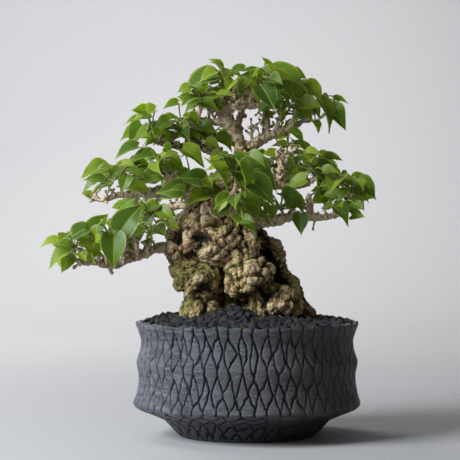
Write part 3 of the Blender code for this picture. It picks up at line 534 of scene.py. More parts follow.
class Look:
    """A material under construction, with short ways to add and join its nodes."""

    def __init__(self, name, specular=0.4):
        self.material = bpy.data.materials.new(name)
        self.material.use_nodes = True
        self.tree = self.material.node_tree
        self.shader = self.tree.nodes["Principled BSDF"]
        self.shader.inputs["Specular IOR Level"].default_value = specular
        self.place = self.tree.nodes.new("ShaderNodeTexCoord").outputs["Object"]

    def node(self, kind, inputs=None, **settings):
        return add_node(self.tree, "ShaderNode" + kind, inputs, **settings)

    def axis(self, number):
        return self.node("SeparateXYZ", {0: self.place}).outputs[number]

    def noise(self, size, detail=4, rough=0.55, stretch=(1, 1, 1)):
        """Noise whose largest lumps are about size across."""
        where = self.node("Mapping", {"Vector": self.place, "Scale": stretch})
        inputs = {"Vector": where.outputs[0], "Scale": 1 / size, "Detail": detail,
                  "Roughness": rough}
        return self.node("TexNoise", inputs).outputs["Fac"]

    def cells(self, size):
        """The outputs of rounded cells about size across."""
        return self.node("TexVoronoi", {"Vector": self.place, "Scale": 1 / size}).outputs

    def stored(self, name):
        return self.node("Attribute", attribute_name=name).outputs["Fac"]

    def math(self, operation, first, second=0.0):
        return self.node("Math", {0: first, 1: second}, operation=operation).outputs[0]

    def span(self, value, low, high, to_low=0.0, to_high=1.0):
        inputs = {"Value": value, "From Min": low, "From Max": high, "To Min": to_low,
                  "To Max": to_high}
        return self.node("MapRange", inputs).outputs["Result"]

    def mix(self, share, first, second):
        """A colour between two colours, each a socket or three numbers."""
        first, second = [
            value if isinstance(value, bpy.types.NodeSocket) else (*value, 1)
            for value in (first, second)
        ]
        return self.node("Mix", {0: share, 6: first, 7: second}, data_type="RGBA").outputs[2]

    def ramp(self, value, stops):
        """A colour by value, through stops of (position, colour)."""
        ramp = self.node("ValToRGB", {"Fac": value})
        elements = ramp.color_ramp.elements
        while len(elements) < len(stops):
            elements.new(0.5)
        for element, (position, colour) in zip(elements, stops):
            element.position = position
            element.color = (*colour, 1)
        return ramp.outputs["Color"]

    def finish(self, colour, roughness, height=None, depth=0.0):
        """The finished material, with bumps of this depth where a height is given."""
        self.tree.links.new(colour, self.shader.inputs["Base Color"])
        self.tree.links.new(roughness, self.shader.inputs["Roughness"])
        if height is not None:
            bump = self.node("Bump", {"Height": height, "Distance": depth})
            self.tree.links.new(bump.outputs[0], self.shader.inputs["Normal"])
        return self.material


def shade(colour, by):
    return tuple(channel * by for channel in colour)


def stoneware_look(settings):
    """Brushed dark clay: a painted highlight on the cut edges, painted warm shade to the right,
    painted shade below the ledge and black painted shade in its cuts.
    """
    look = Look("dark_stoneware", 0.75)
    clay = tuple(settings.clay)
    cloud = look.noise(14 * MM, 6, 0.6)
    streak = look.noise(1.9 * MM, 5, 0.65, (0.12, 0.12, 1))
    colour = look.mix(look.span(cloud, 0.38, 0.62), shade(clay, 0.42), shade(clay, 1.4))
    colour = look.mix(look.span(streak, 0.45, 0.6), colour, shade(clay, 2.8))
    # painted highlight along the edges of the cuts
    colour = look.mix(look.stored("wear"), colour, shade(clay, 3))
    # painted warm shade: the clay turns darker and warmer towards the right, away from the window
    # light
    painted_warm_shade = look.span(look.axis(0), -50 * MM, 60 * MM, 0, 0.95)
    colour = look.mix(painted_warm_shade, colour, (0.030, 0.022, 0.017))
    # painted shade under the ledge, darkening the foot
    low = look.span(look.axis(2), 12 * MM, 20 * MM, 0.75, 0)
    colour = look.mix(low, colour, (0.009, 0.009, 0.011))
    # painted shade: black in the carved cuts
    colour = look.mix(look.span(look.stored("cut"), 0.12, 0.5), colour, (0.003, 0.003, 0.004))
    grain = look.noise(0.9 * MM, 4, 0.75)
    height = look.math("ADD", streak, look.math("MULTIPLY", grain, 0.6))
    roughness = look.span(look.math("ADD", streak, cloud), 0.7, 1.3, 0.3, 0.52)
    return look.finish(colour, roughness, height, 1.4 * MM)


def lava_look(settings):
    look = Look("lava_grit", 0.35)
    lava = tuple(settings.lava)
    tone = look.stored("grain_tone")
    colour = look.ramp(tone, [
        (0, shade(lava, 0.6)), (0.55, lava), (0.86, shade(lava, 2.1)),
        (0.9, (0.045, 0.04, 0.022)), (1, (0.06, 0.058, 0.02)),
    ])
    pits = look.cells(0.9 * MM)["Distance"]
    # painted shade in the pits of the lava
    colour = look.mix(look.span(pits, 0.1, 0.55, 0.75, 0), colour, (0.004, 0.004, 0.004))
    dust = look.span(look.noise(1.6 * MM, 5, 0.7), 0.55, 0.8, 0, 0.6)
    colour = look.mix(dust, colour, shade(lava, 3))
    height = look.math("ADD", pits, look.noise(0.5 * MM, 4, 0.7))
    return look.finish(colour, look.span(dust, 0, 0.6, 0.62, 0.9), height, 0.7 * MM)


def bark_look(settings, name, bark):
    """Weathered bark with painted shade in its creases, hollows and pits, painted light on its
    knobs and on its right side, paler higher up, with moss and pink patches.
    """
    look = Look(name, 0.3)
    crease = look.stored("crease")
    fine = look.noise(1.6 * MM, 7, 0.75)
    broad = look.noise(11 * MM, 4, 0.6)
    # painted light and shade by relief: dark in creases and hollows, pale on the knob tops
    lit = look.math("ADD", crease, look.math("MULTIPLY", look.math("SUBTRACT", fine, 0.5), 1.8))
    # painted light: the bark is lighter towards its right side
    lit = look.math("ADD", lit, look.span(look.axis(0), 14 * MM, 40 * MM, 0, 0.13))
    lit = look.math("ADD", lit, look.span(look.axis(2), 104 * MM, 122 * MM, 0, 0.1))
    colour = look.ramp(lit, [
        (0.12, (0.006, 0.005, 0.003)), (0.34, shade(bark, 0.16)), (0.52, shade(bark, 0.62)),
        (0.74, shade(bark, 1.25)), (0.94, (0.68, 0.57, 0.37)),
    ])
    pink = look.span(broad, 0.52, 0.64, 0, 0.7)
    colour = look.mix(pink, colour, look.mix(lit, (0.10, 0.05, 0.03), (0.56, 0.34, 0.22)))
    flecks = look.span(look.noise(3.2 * MM, 5, 0.75), 0.44, 0.6)
    moss = look.math("MULTIPLY", look.span(look.stored("moss"), 0.1, 0.7), flecks)
    green = look.mix(fine, shade(settings.moss, 0.35), shade(settings.moss, 1.7))
    colour = look.mix(moss, colour, green)
    # painted shade in small pits of the bark
    pits = look.span(look.noise(1.9 * MM, 3, 0.7), 0.37, 0.43, 0.95, 0)
    colour = look.mix(pits, colour, (0.012, 0.009, 0.005))
    cells = look.cells(1.7 * MM)["Distance"]
    height = look.math("ADD", fine, look.math("MULTIPLY", cells, 0.6))
    return look.finish(colour, look.span(fine, 0.3, 0.7, 0.72, 0.95), height, 1 * MM)


def leaf_look(settings):
    """A leaf by its tone, with pale veins and margin and a paler underside."""
    look = Look("leaf_blade", 0.22)
    spread = look.node("UVMap", uv_map="blade").outputs[0]
    parts = look.node("SeparateXYZ", {0: spread})
    across = look.math("ABSOLUTE", look.math("SUBTRACT", parts.outputs[0], 0.5))
    along = parts.outputs[1]
    mottled = look.span(look.noise(3 * MM, 3), 0, 1, -0.1, 0.1)
    tone = look.math("ADD", look.stored("tone"), mottled)
    colour = look.ramp(tone, [
        (0, tuple(settings.old)), (0.5, tuple(settings.grown)), (1, tuple(settings.young)),
    ])
    slope = look.math("SUBTRACT", look.math("MULTIPLY", along, 7.0),
                      look.math("MULTIPLY", across, 5.0))
    wave = look.math("ABSOLUTE", look.math("SUBTRACT", look.math("FRACT", slope), 0.5))
    side_veins = look.span(wave, 0.0, 0.1, 0.2, 0)
    midrib = look.span(across, 0.012, 0.035, 0.6, 0)
    veins = look.math("MAXIMUM", side_veins, midrib)
    colour = look.mix(veins, colour, shade(settings.young, 1.05))
    margin = look.span(look.stored("margin"), 0.86, 1, 0, 0.6)
    colour = look.mix(margin, colour, (0.30, 0.34, 0.05))
    under = look.math("MULTIPLY", look.stored("underside"), 0.5)
    colour = look.mix(under, colour, (0.13, 0.23, 0.045))
    inputs = look.shader.inputs
    inputs["Subsurface Weight"].default_value = 0.55
    inputs["Subsurface Radius"].default_value = (0.7, 1.0, 0.25)
    inputs["Subsurface Scale"].default_value = 1.6 * MM
    height = look.math("SUBTRACT", look.noise(1.2 * MM, 3), look.math("MULTIPLY", veins, 1.2))
    return look.finish(colour, look.span(veins, 0, 0.4, 0.42, 0.55), height, 0.1 * MM)


def stalk_look(settings):
    look = Look("leaf_stalk", 0.45)
    streak = look.noise(2.2 * MM, 4)
    stalk = tuple(settings.stalk)
    colour = look.mix(look.span(streak, 0.35, 0.7), shade(stalk, 0.65), stalk)
    look.shader.inputs["Subsurface Weight"].default_value = 0.25
    look.shader.inputs["Subsurface Scale"].default_value = 1 * MM
    return look.finish(colour, look.span(streak, 0.3, 0.7, 0.35, 0.5), streak, 0.1 * MM)


def crumb_look(name, dark, pale, size, depth):
    """Packed crumbs or gravel: rounded cells, each with a tone of its own, and painted shade in
    the gaps between them.
    """
    look = Look(name, 0.2)
    cells = look.cells(size)
    tone = look.node("SeparateXYZ", {0: cells["Color"]}).outputs[0]
    colour = look.mix(tone, dark, pale)
    # painted shade in the gaps between the crumbs
    gaps = look.span(cells["Distance"], 0.35, 0.75)
    colour = look.mix(gaps, colour, shade(dark, 0.3))
    fine = look.noise(size / 4, 5, 0.7)
    height = look.math("SUBTRACT", look.math("MULTIPLY", fine, 0.4), cells["Distance"])
    return look.finish(colour, look.span(fine, 0.3, 0.7, 0.8, 0.96), height, depth)


def net_plastic_look():
    look = Look("screen_plastic", 0.5)
    scuff = look.noise(2 * MM, 5, 0.7)
    colour = look.mix(look.span(scuff, 0.45, 0.7), (0.016, 0.016, 0.017), (0.045, 0.045, 0.048))
    return look.finish(colour, look.span(scuff, 0.3, 0.7, 0.35, 0.6), scuff, 0.06 * MM)


class Shells:
    """Closed shells gathered into one mesh."""

    def __init__(self):
        self.points = []
        self.faces = []

    def add(self, points, faces):
        first = len(self.points)
        self.points.extend(tuple(point) for point in points)
        self.faces.extend(tuple(first + corner for corner in face) for face in faces)

    def ball(self, centre, half, steps=(10, 7)):
        """A ball or an ellipsoid, by its centre and half sizes."""
        around, rows = steps
        points = [centre - Vector((0, 0, half[2]))]
        for row in range(1, rows):
            lift = -math.cos(math.pi * row / rows)
            reach = math.sin(math.pi * row / rows)
            for step in range(around):
                turn = TAU * step / around
                points.append(centre + Vector((math.cos(turn) * reach * half[0],
                                               math.sin(turn) * reach * half[1], lift * half[2])))
        points.append(centre + Vector((0, 0, half[2])))
        self.add(points, ring_faces(around, rows - 1))

    def tube(self, path, sides=8):
        """A tube through (place, radius) pairs, with rounded ends."""
        places = [place for place, _ in path]
        ahead = (places[1] - places[0]).normalized()
        side = ahead.orthogonal().normalized()
        points = [places[0] - ahead * path[0][1] * 0.6]
        for index, (place, radius) in enumerate(path):
            before, after = places[max(index - 1, 0)], places[min(index + 1, len(places) - 1)]
            ahead = (after - before).normalized()
            side = (side - ahead * side.dot(ahead)).normalized()
            other = ahead.cross(side)
            for step in range(sides):
                turn = TAU * step / sides
                points.append(place + (side * math.cos(turn) + other * math.sin(turn)) * radius)
        points.append(places[-1] + ahead * path[-1][1] * 0.6)
        self.add(points, ring_faces(sides, len(path)))

    def mesh(self, name):
        return new_mesh(name, self.points, self.faces)


def ring_faces(around, rings):
    """Faces of a closed surface from a first pole, through its rings, to a last pole."""
    faces = []
    last = 1 + around * rings
    for step in range(around):
        after = (step + 1) % around
        faces.append((0, 1 + after, 1 + step))
        for ring in range(rings - 1):
            low = 1 + ring * around
            faces.append((low + step, low + after, low + around + after, low + around + step))
        top = 1 + (rings - 1) * around
        faces.append((top + step, top + after, last))
    return faces


def tree_point(point):
    """Where a point of the tables lies in the scene."""
    return SOIL_LINE + Vector(point[:3]) * TREE_MM


def smooth_path(points, step=1.5):
    """(place, radius) pairs on a smooth curve through tree points (x, y, z, radius)."""
    knots = [np.array(point, float) for point in points]
    knots = [2 * knots[0] - knots[1], *knots, 2 * knots[-1] - knots[-2]]
    path = []
    for a, b, c, d in zip(knots, knots[1:], knots[2:], knots[3:]):
        count = max(2, round(np.linalg.norm(c[:3] - b[:3]) / step))
        for number in range(count):
            t = number / count
            bend = 2 * b + (c - a) * t + (2 * a - 5 * b + 4 * c - d) * t * t
            found = (bend + (3 * b - a - 3 * c + d) * t ** 3) / 2
            path.append((tree_point(found), max(found[3], 0.4) * TREE_MM))
    path.append((tree_point(points[-1]), points[-1][3] * TREE_MM))
    return path


def new_object(name, data):
    made = bpy.data.objects.new(name, data)
    bpy.context.scene.collection.objects.link(made)
    return made


def new_mesh(name, points, faces):
    made = bpy.data.meshes.new(name)
    made.from_pydata(points, [], faces)
    return made


def mesh_of(shells, name):
    made = bpy.data.meshes.new(name)
    shells.to_mesh(made)
    shells.free()
    return made


def give_look(mesh, *looks):
    mesh.materials.clear()
    for look in looks:
        mesh.materials.append(look)


def evaluated_mesh(source):
    """What an object's modifiers make of it, as a plain mesh."""
    bpy.context.view_layer.update()
    graph = bpy.context.evaluated_depsgraph_get()
    return bpy.data.meshes.new_from_object(source.evaluated_get(graph))


def fused_mesh(mesh, voxel, name):
    """The mesh's overlapping shells grown together by a voxel remesh."""
    helper = new_object(name, mesh)
    fuse = helper.modifiers.new("fuse", "REMESH")
    fuse.mode = "VOXEL"
    fuse.voxel_size = voxel
    fused = evaluated_mesh(helper)
    bpy.data.objects.remove(helper)
    return fused


def store(mesh, name, values):
    """Keeps a number at each point of a mesh, for its material."""
    made = mesh.attributes.new(name, "FLOAT", "POINT")
    made.data.foreach_set("value", np.asarray(values, np.float32))


def add_piece(name, mesh, slot, *nodes):
    """Puts a finished mesh in place of its CAD nodes."""
    mesh.name = name
    piece = new_object(name, mesh)
    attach(piece, "root")
    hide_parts(*nodes)


def along_outline(corners, spacing):
    """Evenly spaced, slightly rounded points on a (radius, height) outline in mm."""
    corners = np.array(corners, float)
    way = np.concatenate([[0], np.cumsum(np.linalg.norm(np.diff(corners, axis=0), axis=1))])
    count = round(way[-1] / spacing)
    places = np.linspace(0, way[-1], count + 1)
    points = np.stack([np.interp(places, way, corners[:, side]) for side in (0, 1)], axis=1)
    for _ in range(2):
        points[1:-1] = (points[:-2] + 2 * points[1:-1] + points[2:]) / 4
    return points, places


def bell(distance, reach):
    """1 at no distance, falling smoothly to almost 0 at twice the reach."""
    return math.exp(-(distance / reach) ** 2)


def on_ring(turn, reach, height):
    return Vector((math.cos(turn) * reach, math.sin(turn) * reach, height))


def carved_net(settings, turn, way):
    """How far a place on the pot is in a cut, on its shoulder and on the edge that gets a painted
    highlight (0 to 1).
    """
    place = on_ring(turn, 3.2, way * 0.045)
    below = way > LEDGE_WAY
    cuts = round(settings.cuts * (CUTS_BELOW if below else 1))
    column = turn / TAU * cuts + (SLANT_BELOW * (way - LEDGE_WAY) if below else 0)
    column += (0.14 if below else 0.25) * noise.noise(on_ring(turn, 9, way * 0.08))
    column += 0.09 * noise.noise(on_ring(turn, 24, way * 0.3))
    jitter = 5 * noise.noise(on_ring(turn, 11, way * 0.03 + 7)) * min(1, way / 9)
    spread = np.interp(way + jitter, NET_WAY, NET_SPREAD)
    spread *= 0.9 + 0.45 * noise.noise(place * 2.3 + Vector((0, 0, 9)))
    pitch = TAU * RADIUS / cuts
    away = abs(abs(column - round(column)) - spread) * pitch
    heading, breadth, share = SMOOTHED
    fade = 1 - share * bell((turn - heading + math.pi) % TAU - math.pi, breadth)
    fade *= 0.98 + 0.2 * noise.noise(place * 1.7)
    wide = settings.width * (WIDTH_BELOW if below else 1)
    cut = fade * bell(away, wide)
    shoulder = fade * bell(away, settings.width * 3.2)
    # where the painted highlight lies, just beside a cut
    wear = fade * bell(away - wide * 2.3, wide * 0.9)
    return cut, shoulder, wear


def make_pot_mesh(settings):
    """The turned pot with its uneven lip, its tool marks and the carved net."""
    outside, ways = along_outline(OUTSIDE, 0.92)
    inside, _ = along_outline(INSIDE, 6)
    outline = [(r, z, way) for (r, z), way in zip(outside, ways)][::-1]
    outline += [(r, z, None) for r, z in inside]
    points = [(0, 0, 0)]
    marks = [(0, 0)]
    scale = RADIUS / max(r for r, _, _ in outline)
    tall = RIM / max(z for _, z, _ in outline)
    for r, z, way in outline:
        radius, height = r * scale, z * tall
        lip = max(0, 1 - (RIM - height) / (3 * MM)) * MM
        for step in range(POT_SIDES):
            turn = TAU * step / POT_SIDES
            cut = wear = depth = 0
            if way is not None:
                cut, shoulder, wear = carved_net(settings, turn, way)
                rough = noise.noise(on_ring(turn, 1, way * 0.02) * 5)
                tool = noise.noise(on_ring(turn, 3, way * 0.95))
                depth = settings.depth * cut + 0.22 * MM * shoulder + 0.3 * MM * (0.5 - rough)
                depth += 0.2 * MM * tool
                depth *= min(1, (way + 0.8) / 2, max(0, (FOOT_WAY - way) / 3))
            reach = radius - depth
            lift = lip * 1.5 * (noise.noise(on_ring(turn, 1, r) * 14) - 0.3)
            points.append((reach * math.cos(turn), reach * math.sin(turn), height + lift))
            marks.append((cut, wear))
    points.append((0, 0, FLOOR * MM))
    marks.append((0, 0))
    mesh = new_mesh("carved_pot", points, ring_faces(POT_SIDES, len(outline)))
    # how far each point is in a cut, which the material darkens with painted shade
    store(mesh, "cut", [cut for cut, _ in marks])
    # the painted highlight along the cut edges, for the material
    store(mesh, "wear", [wear * 0.5 for _, wear in marks])
    return mesh


def any_way(seeded):
    return Vector([seeded.gauss(0, 1) for _ in range(3)])


def stone_shapes(count, corners, seeded):
    """Angular stones of about unit half width, as objects in a collection of their own."""
    shapes = bpy.data.collections.new("stone_shapes")
    for number in range(count):
        stone = bmesh.new()
        for _ in range(corners):
            stone.verts.new(any_way(seeded).normalized() * seeded.uniform(0.7178, 1.0767))
        bmesh.ops.convex_hull(stone, input=stone.verts)
        bmesh.ops.recalc_face_normals(stone, faces=stone.faces)
        name = f"stone_{number}"
        shapes.objects.link(bpy.data.objects.new(name, mesh_of(stone, name)))
    return shapes


def stone_scatter_tree(material):
    """Nodes that lay stones on a surface in two layers, large ones over small ones."""
    tree = bpy.data.node_groups.new("lay_stones", "GeometryNodeTree")
    for name, kind in (("Surface", "Geometry"), ("Stones", "Collection"), ("Half Width", "Float"),
                       ("Spacing", "Float"), ("Seed", "Int")):
        tree.interface.new_socket(name, in_out="INPUT", socket_type="NodeSocket" + kind)
    tree.interface.new_socket("Stones", in_out="OUTPUT", socket_type="NodeSocketGeometry")
    given = tree.nodes.new("NodeGroupInput").outputs

    def add(kind, inputs, **settings):
        return add_node(tree, kind, inputs, **settings)

    kinds = add("GeometryNodeCollectionInfo", {"Collection": given["Stones"],
                                               "Separate Children": True, "Reset Children": True})
    layers = []
    for layer, (spread, low, high) in enumerate(((0.62, 0.4, 0.75), (1.0, 0.75, 1.3))):
        seed = add("ShaderNodeMath", {0: given["Seed"], 1: layer * 7.0}, operation="ADD")
        apart = add("ShaderNodeMath", {0: given["Spacing"], 1: spread}, operation="MULTIPLY")
        places = add("GeometryNodeDistributePointsOnFaces",
                     {"Mesh": given["Surface"], "Distance Min": apart.outputs[0],
                      "Density Max": 900000.0, "Seed": seed.outputs[0]},
                     distribute_method="POISSON")
        turn = add("FunctionNodeRandomValue", {0: (0, 0, 0), 1: (TAU, TAU, TAU)},
                   data_type="FLOAT_VECTOR")
        size = add("FunctionNodeRandomValue", {2: low, 3: high, "Seed": 5 + layer})
        scale = add("ShaderNodeMath", {0: size.outputs[1], 1: given["Half Width"]},
                    operation="MULTIPLY")
        laid = add("GeometryNodeInstanceOnPoints",
                   {"Points": places.outputs["Points"], "Instance": kinds.outputs[0],
                    "Pick Instance": True, "Rotation": turn.outputs[0], "Scale": scale.outputs[0]})
        tone = add("FunctionNodeRandomValue", {2: 0.0, 3: 1.0, "Seed": 9 + layer})
        marked = add("GeometryNodeStoreNamedAttribute",
                     {"Geometry": laid.outputs[0], "Name": "grain_tone", "Value": tone.outputs[1]},
                     domain="INSTANCE")
        layers.append(marked.outputs[0])
    joined = tree.nodes.new("GeometryNodeJoinGeometry")
    for layer in layers:
        tree.links.new(layer, joined.inputs[0])
    real = add("GeometryNodeRealizeInstances", {"Geometry": joined.outputs[0]})
    painted = add("GeometryNodeSetMaterial", {"Geometry": real.outputs[0], "Material": material})
    result = tree.nodes.new("NodeGroupOutput")
    tree.links.new(painted.outputs[0], result.inputs[0])
    return tree


def heap_height(x, y):
    """The dressing's surface over the pot: level with the rim in front, heaped to the trunk."""
    inward = 1 - math.hypot(x, y) / (RADIUS * 0.9)
    heap = min(1, max(0, inward - 0.04) * 1.9)
    back_left = max(0, (-x * 0.6 + y * 0.8) / RADIUS) * min(1, max(0, inward) * 6)
    uneven = noise.noise(Vector((x, y, 0)) * 45)
    front = math.exp(-((x + 9 * MM) ** 2 + (y + 30 * MM) ** 2) / (15 * MM) ** 2)
    return RIM + (-1.3 + 4 * heap + 6 * front + 3.6 * back_left + 1.4 * uneven) * MM


def heap_mesh(name, deep=None, rings=16, around=64):
    """The dressing's upper surface, closed below if a depth is given."""
    reach = RADIUS * 0.895
    points = [(0, 0, heap_height(0, 0))]
    for ring in range(1, rings + 1):
        for step in range(around):
            turn = TAU * step / around
            x, y = (reach * ring / rings * part for part in (math.cos(turn), math.sin(turn)))
            points.append((x, y, heap_height(x, y)))
    faces = [(0, 1 + step, 1 + (step + 1) % around) for step in range(around)]
    for ring in range(rings - 1):
        for step in range(around):
            low, after = 1 + ring * around, (step + 1) % around
            faces.append((low + step, low + around + step, low + around + after, low + after))
    if deep:
        rim = 1 + (rings - 1) * around
        points.append((0, 0, RIM - deep))
        for step in range(around):
            faces.append((rim + (step + 1) % around, rim + step, len(points) - 1))
    return new_mesh(name, points, faces)


def make_dressing_mesh(settings):
    """Two layers of grains over a closed bed."""
    seeded = random.Random(4)
    look = lava_look(settings)
    shapes = stone_shapes(STONE_KINDS, STONE_CORNERS, seeded)
    holder = new_object("heap", heap_mesh("heap"))
    tree = stone_scatter_tree(look)
    scatter = holder.modifiers.new("lay_stones", "NODES")
    scatter.node_group = tree
    values = {"Stones": shapes, "Half Width": settings.grain, "Spacing": settings.spacing,
              "Seed": 3}
    for item in tree.interface.items_tree:
        if item.in_out == "INPUT" and item.name in values:
            scatter[item.identifier] = values[item.name]
    grains = evaluated_mesh(holder)
    bpy.data.objects.remove(holder)
    for stone in list(shapes.objects):
        bpy.data.objects.remove(stone)
    bpy.data.collections.remove(shapes)
    whole = bmesh.new()
    whole.from_mesh(grains)
    whole.from_mesh(heap_mesh("bed", BED_DEPTH))
    mesh = mesh_of(whole, "lava_dressing")
    give_look(mesh, look)
    return mesh


def knobbed(mesh, scales, rough, moss_level, hollows=()):
    """Pushes a woody mesh out into knobs with creases between, and stores moss and the painted
    shading: shade in the creases and hollows, light on the knob tops.
    """
    creases, mosses = [], []
    moved = []
    for corner in mesh.vertices:
        place, normal = corner.co.copy(), corner.normal
        push, crease = 0.0, 0.88
        warp = Vector((noise.noise(place * 90), noise.noise(place * 90 + Vector((5, 5, 5))),
                       noise.noise(place * 90 + Vector((9, 1, 4)))))
        for size, height, share in scales:
            near = noise.voronoi((place + warp * size * 0.45) / size)[0]
            dome = 1 - min(1, near[0] / 0.75) ** 2
            gap = min(1, (near[1] - near[0]) / 0.22)
            push += height * (dome * 0.5 + gap * 0.45 - 0.5)
            # painted light on the domes, painted shade in the gaps between knobs
            crease += share * ((gap - 1) * 1.3 + (dome - 0.45) * 0.5)
        rugged = noise.fractal(place / (4.2 * MM), 0.75, 2.2, 5)
        push += rugged * rough
        # painted shade in the rugged dips
        crease += min(0, rugged + 0.15) * 0.5
        for centre, reach, depth in hollows:
            dent = bell((place - centre).length, reach)
            push -= depth * dent
            # painted shade in the hollows
            crease -= 0.75 * dent
        wide = noise.noise(place * 38 + Vector((3, 3, 3)))
        level = moss_level(place) + 0.8 * wide + 0.35 * normal.z
        mosses.append(min(1, max(0, level)))
        creases.append(min(1, max(0, crease)))
        moved.append(place + normal * push)
    for corner, place in zip(mesh.vertices, moved):
        corner.co = place
    store(mesh, "crease", creases)
    store(mesh, "moss", mosses)
    return mesh


def make_trunk_mesh(settings):
    """The lumps, the buttress and the upper trunk grown together, knobbed and mossed."""
    shells = Shells()
    for centre, half in LUMPS:
        shells.ball(tree_point(centre), Vector(half) * TREE_MM, (24, 16))
    for points in (BUTTRESS, UPPER_TRUNK):
        shells.tube(smooth_path(points), 14)
    mesh = fused_mesh(shells.mesh("lumps"), TRUNK_VOXEL, "gnarled_trunk")
    hollows = [(tree_point(place), reach * MM, depth * MM) for place, reach, depth in HOLLOWS]
    scales = [(size, settings.knobs * height, share) for size, height, share in TRUNK_KNOBS]

    def moss_level(place):
        low = 1 - (place.z - RIM) / (55 * MM)
        left = -place.x / (80 * MM)
        return 0.1 + 0.38 * low + 0.08 * left

    return knobbed(mesh, scales, TRUNK_RUGGED, moss_level, hollows)


def add_spurs(shells, path, seeded, spacing, length, thickness):
    """Short knobbly spurs all along a branch, as hard pruning leaves them."""
    way = spacing * 0.5
    for (place, radius), (after, _) in zip(path, path[1:]):
        way -= (after - place).length
        while way < 0:
            way += spacing * seeded.uniform(0.6, 1.4)
            ahead = (after - place).normalized()
            outward = any_way(seeded)
            outward -= ahead * outward.dot(ahead) * 0.7
            outward = (outward.normalized() + UP * 0.55 + ahead * 0.2).normalized()
            reach = length * seeded.uniform(0.45, 1.25)
            bend = any_way(seeded).normalized() * reach * 0.28
            thick = min(thickness * seeded.uniform(0.8, 1.25), radius * 0.8)
            start = place + outward * radius * 0.4
            middle = start + outward * reach * 0.5 + bend
            end = start + outward * reach
            shells.tube([(start, thick * 1.25), (middle, thick), (end, thick * 0.85)], 6)
            shells.ball(end, [thick * seeded.uniform(1.0, 1.5)] * 3, (8, 6))
            shells.ball(middle, [thick * seeded.uniform(1.0, 1.4)] * 3, (8, 6))
            if seeded.random() < 0.55:
                fork = middle + (outward * 0.5 + bend.normalized() * 0.8) * reach * 0.4
                shells.tube([(middle, thick * 0.9), (fork, thick * 0.6)], 6)
                shells.ball(fork, [thick * 1.15] * 3, (8, 6))


def make_branch_mesh(name, lines):
    """A limb or a branch: its centre lines, their spurs, and the knots of old cuts."""
    lines = lines + DEAD_TWIGS.get(name, [])
    seeded = random.Random(name)
    shells = Shells()
    spurs = [size * TREE_MM for size in SPURS.get(name, USUAL_SPURS)]
    for number, points in enumerate(lines):
        path = smooth_path(points)
        uneven = [(place, radius * seeded.uniform(0.86, 1.2)) for place, radius in path]
        shells.tube(uneven, 10)
        start = len(path) // 4 if number == 0 else 1
        add_spurs(shells, path[start:], seeded, *spurs)
    mesh = fused_mesh(shells.mesh(name), BRANCH_VOXEL, name)
    return knobbed(mesh, BRANCH_KNOBS, BRANCH_RUGGED, lambda place: NO_MOSS)


def blade_mesh():
    """A coarse blade of unit length along +Y, which stands for a leaf when room is sought."""
    reach_by_corner = (0.64, 0.44, 0.47, 0.36)
    lens = bmesh.new()
    bmesh.ops.create_uvsphere(lens, u_segments=6, v_segments=2, radius=1)
    for corner in lens.verts:
        if abs(corner.co.z) > 0.5:
            corner.co = (0, 0.36, math.copysign(BLADE_ROOM, corner.co.z))
            continue
        angle = math.atan2(corner.co.x, corner.co.y)
        reach = reach_by_corner[round(abs(angle) / (math.pi / 3))]
        across = math.sin(angle) * reach
        along = 0.36 + math.cos(angle) * reach
        corner.co = (across, along, abs(across) * 0.35 - along * along * 0.12)
    return mesh_of(lens, "blade_room")


def add_rod(shells, start, end, radius, sides):
    run = end - start
    turn = UP.rotation_difference(run).to_matrix().to_4x4()
    bmesh.ops.create_cone(shells, cap_ends=True, segments=sides, radius1=radius, radius2=radius,
                          depth=run.length, matrix=Matrix.Translation((start + end) / 2) @ turn)


def leaf_turn(base, tip, hint):
    ahead = (tip - base).normalized()
    side = ahead.cross(hint).normalized()
    return Matrix((side, ahead, side.cross(ahead))).transposed()


def surface_of(shells):
    surface = BVHTree.FromBMesh(shells)
    shells.free()
    return surface


def filling_leaves(name, centre, count):
    """Leaves spread by rule round a centre, drooping outwards."""
    seeded = random.Random(name)
    leaves = []
    for number in range(count):
        heading = TAU * (number + seeded.uniform(0.1, 0.5)) / count
        outward = Vector((math.cos(heading), math.sin(heading), 0))
        base = Vector(centre) + outward * seeded.uniform(5, 8) + UP * 5 * math.sin(number * 2.4)
        reach = outward * seeded.uniform(13, 17) - UP * seeded.uniform(2, 8)
        leaves.append((tuple(base), tuple(base + reach), None))
    return leaves


def clear_leaf(taken, room, start, base, tip, hint):
    """Moves a leaf back or forward in small steps until it clears what is in place already."""
    size = Matrix.Scale((tip - base).length, 4)
    turn = leaf_turn(base, tip, hint).to_4x4()
    for step in range(ROOM_TRIES):
        shift = FRONT * ((step + 1) // 2) * ROOM_STEP * (-1 if step % 2 else 1)
        trial = bmesh.new()
        leaf = room.copy()
        leaf.transform(Matrix.Translation(base + shift) @ turn @ size)
        trial.from_mesh(leaf)
        bpy.data.meshes.remove(leaf)
        stalk = start.lerp(base + shift, 0.35)
        add_rod(trial, stalk, (base + shift).lerp(tip + shift, 0.25), STALK_ROOM, 3)
        surface = surface_of(trial)
        if not any(surface.overlap(other) for other in taken):
            return base + shift, tip + shift, surface
    return None


def clear_stem(taken, lines, centre):
    """The nearest way from a branch's centre lines towards a shoot's centre that is free."""
    places = []
    for line in lines:
        for start, end in zip(line, line[1:]):
            for share in (0.1, 0.3, 0.5, 0.7, 0.9):
                places.append(tree_point(start).lerp(tree_point(end), share))
    places.sort(key=lambda place: (centre - place).length)
    for rooted in places:
        start = rooted + (centre - rooted).normalized() * TREE_MM
        end = rooted.lerp(centre, 0.7)
        trial = bmesh.new()
        add_rod(trial, start, end, STEM_ROOM, 5)
        surface = surface_of(trial)
        if not any(surface.overlap(other) for other in taken):
            return start, end, surface
    raise RuntimeError("no free way for a shoot's stem")


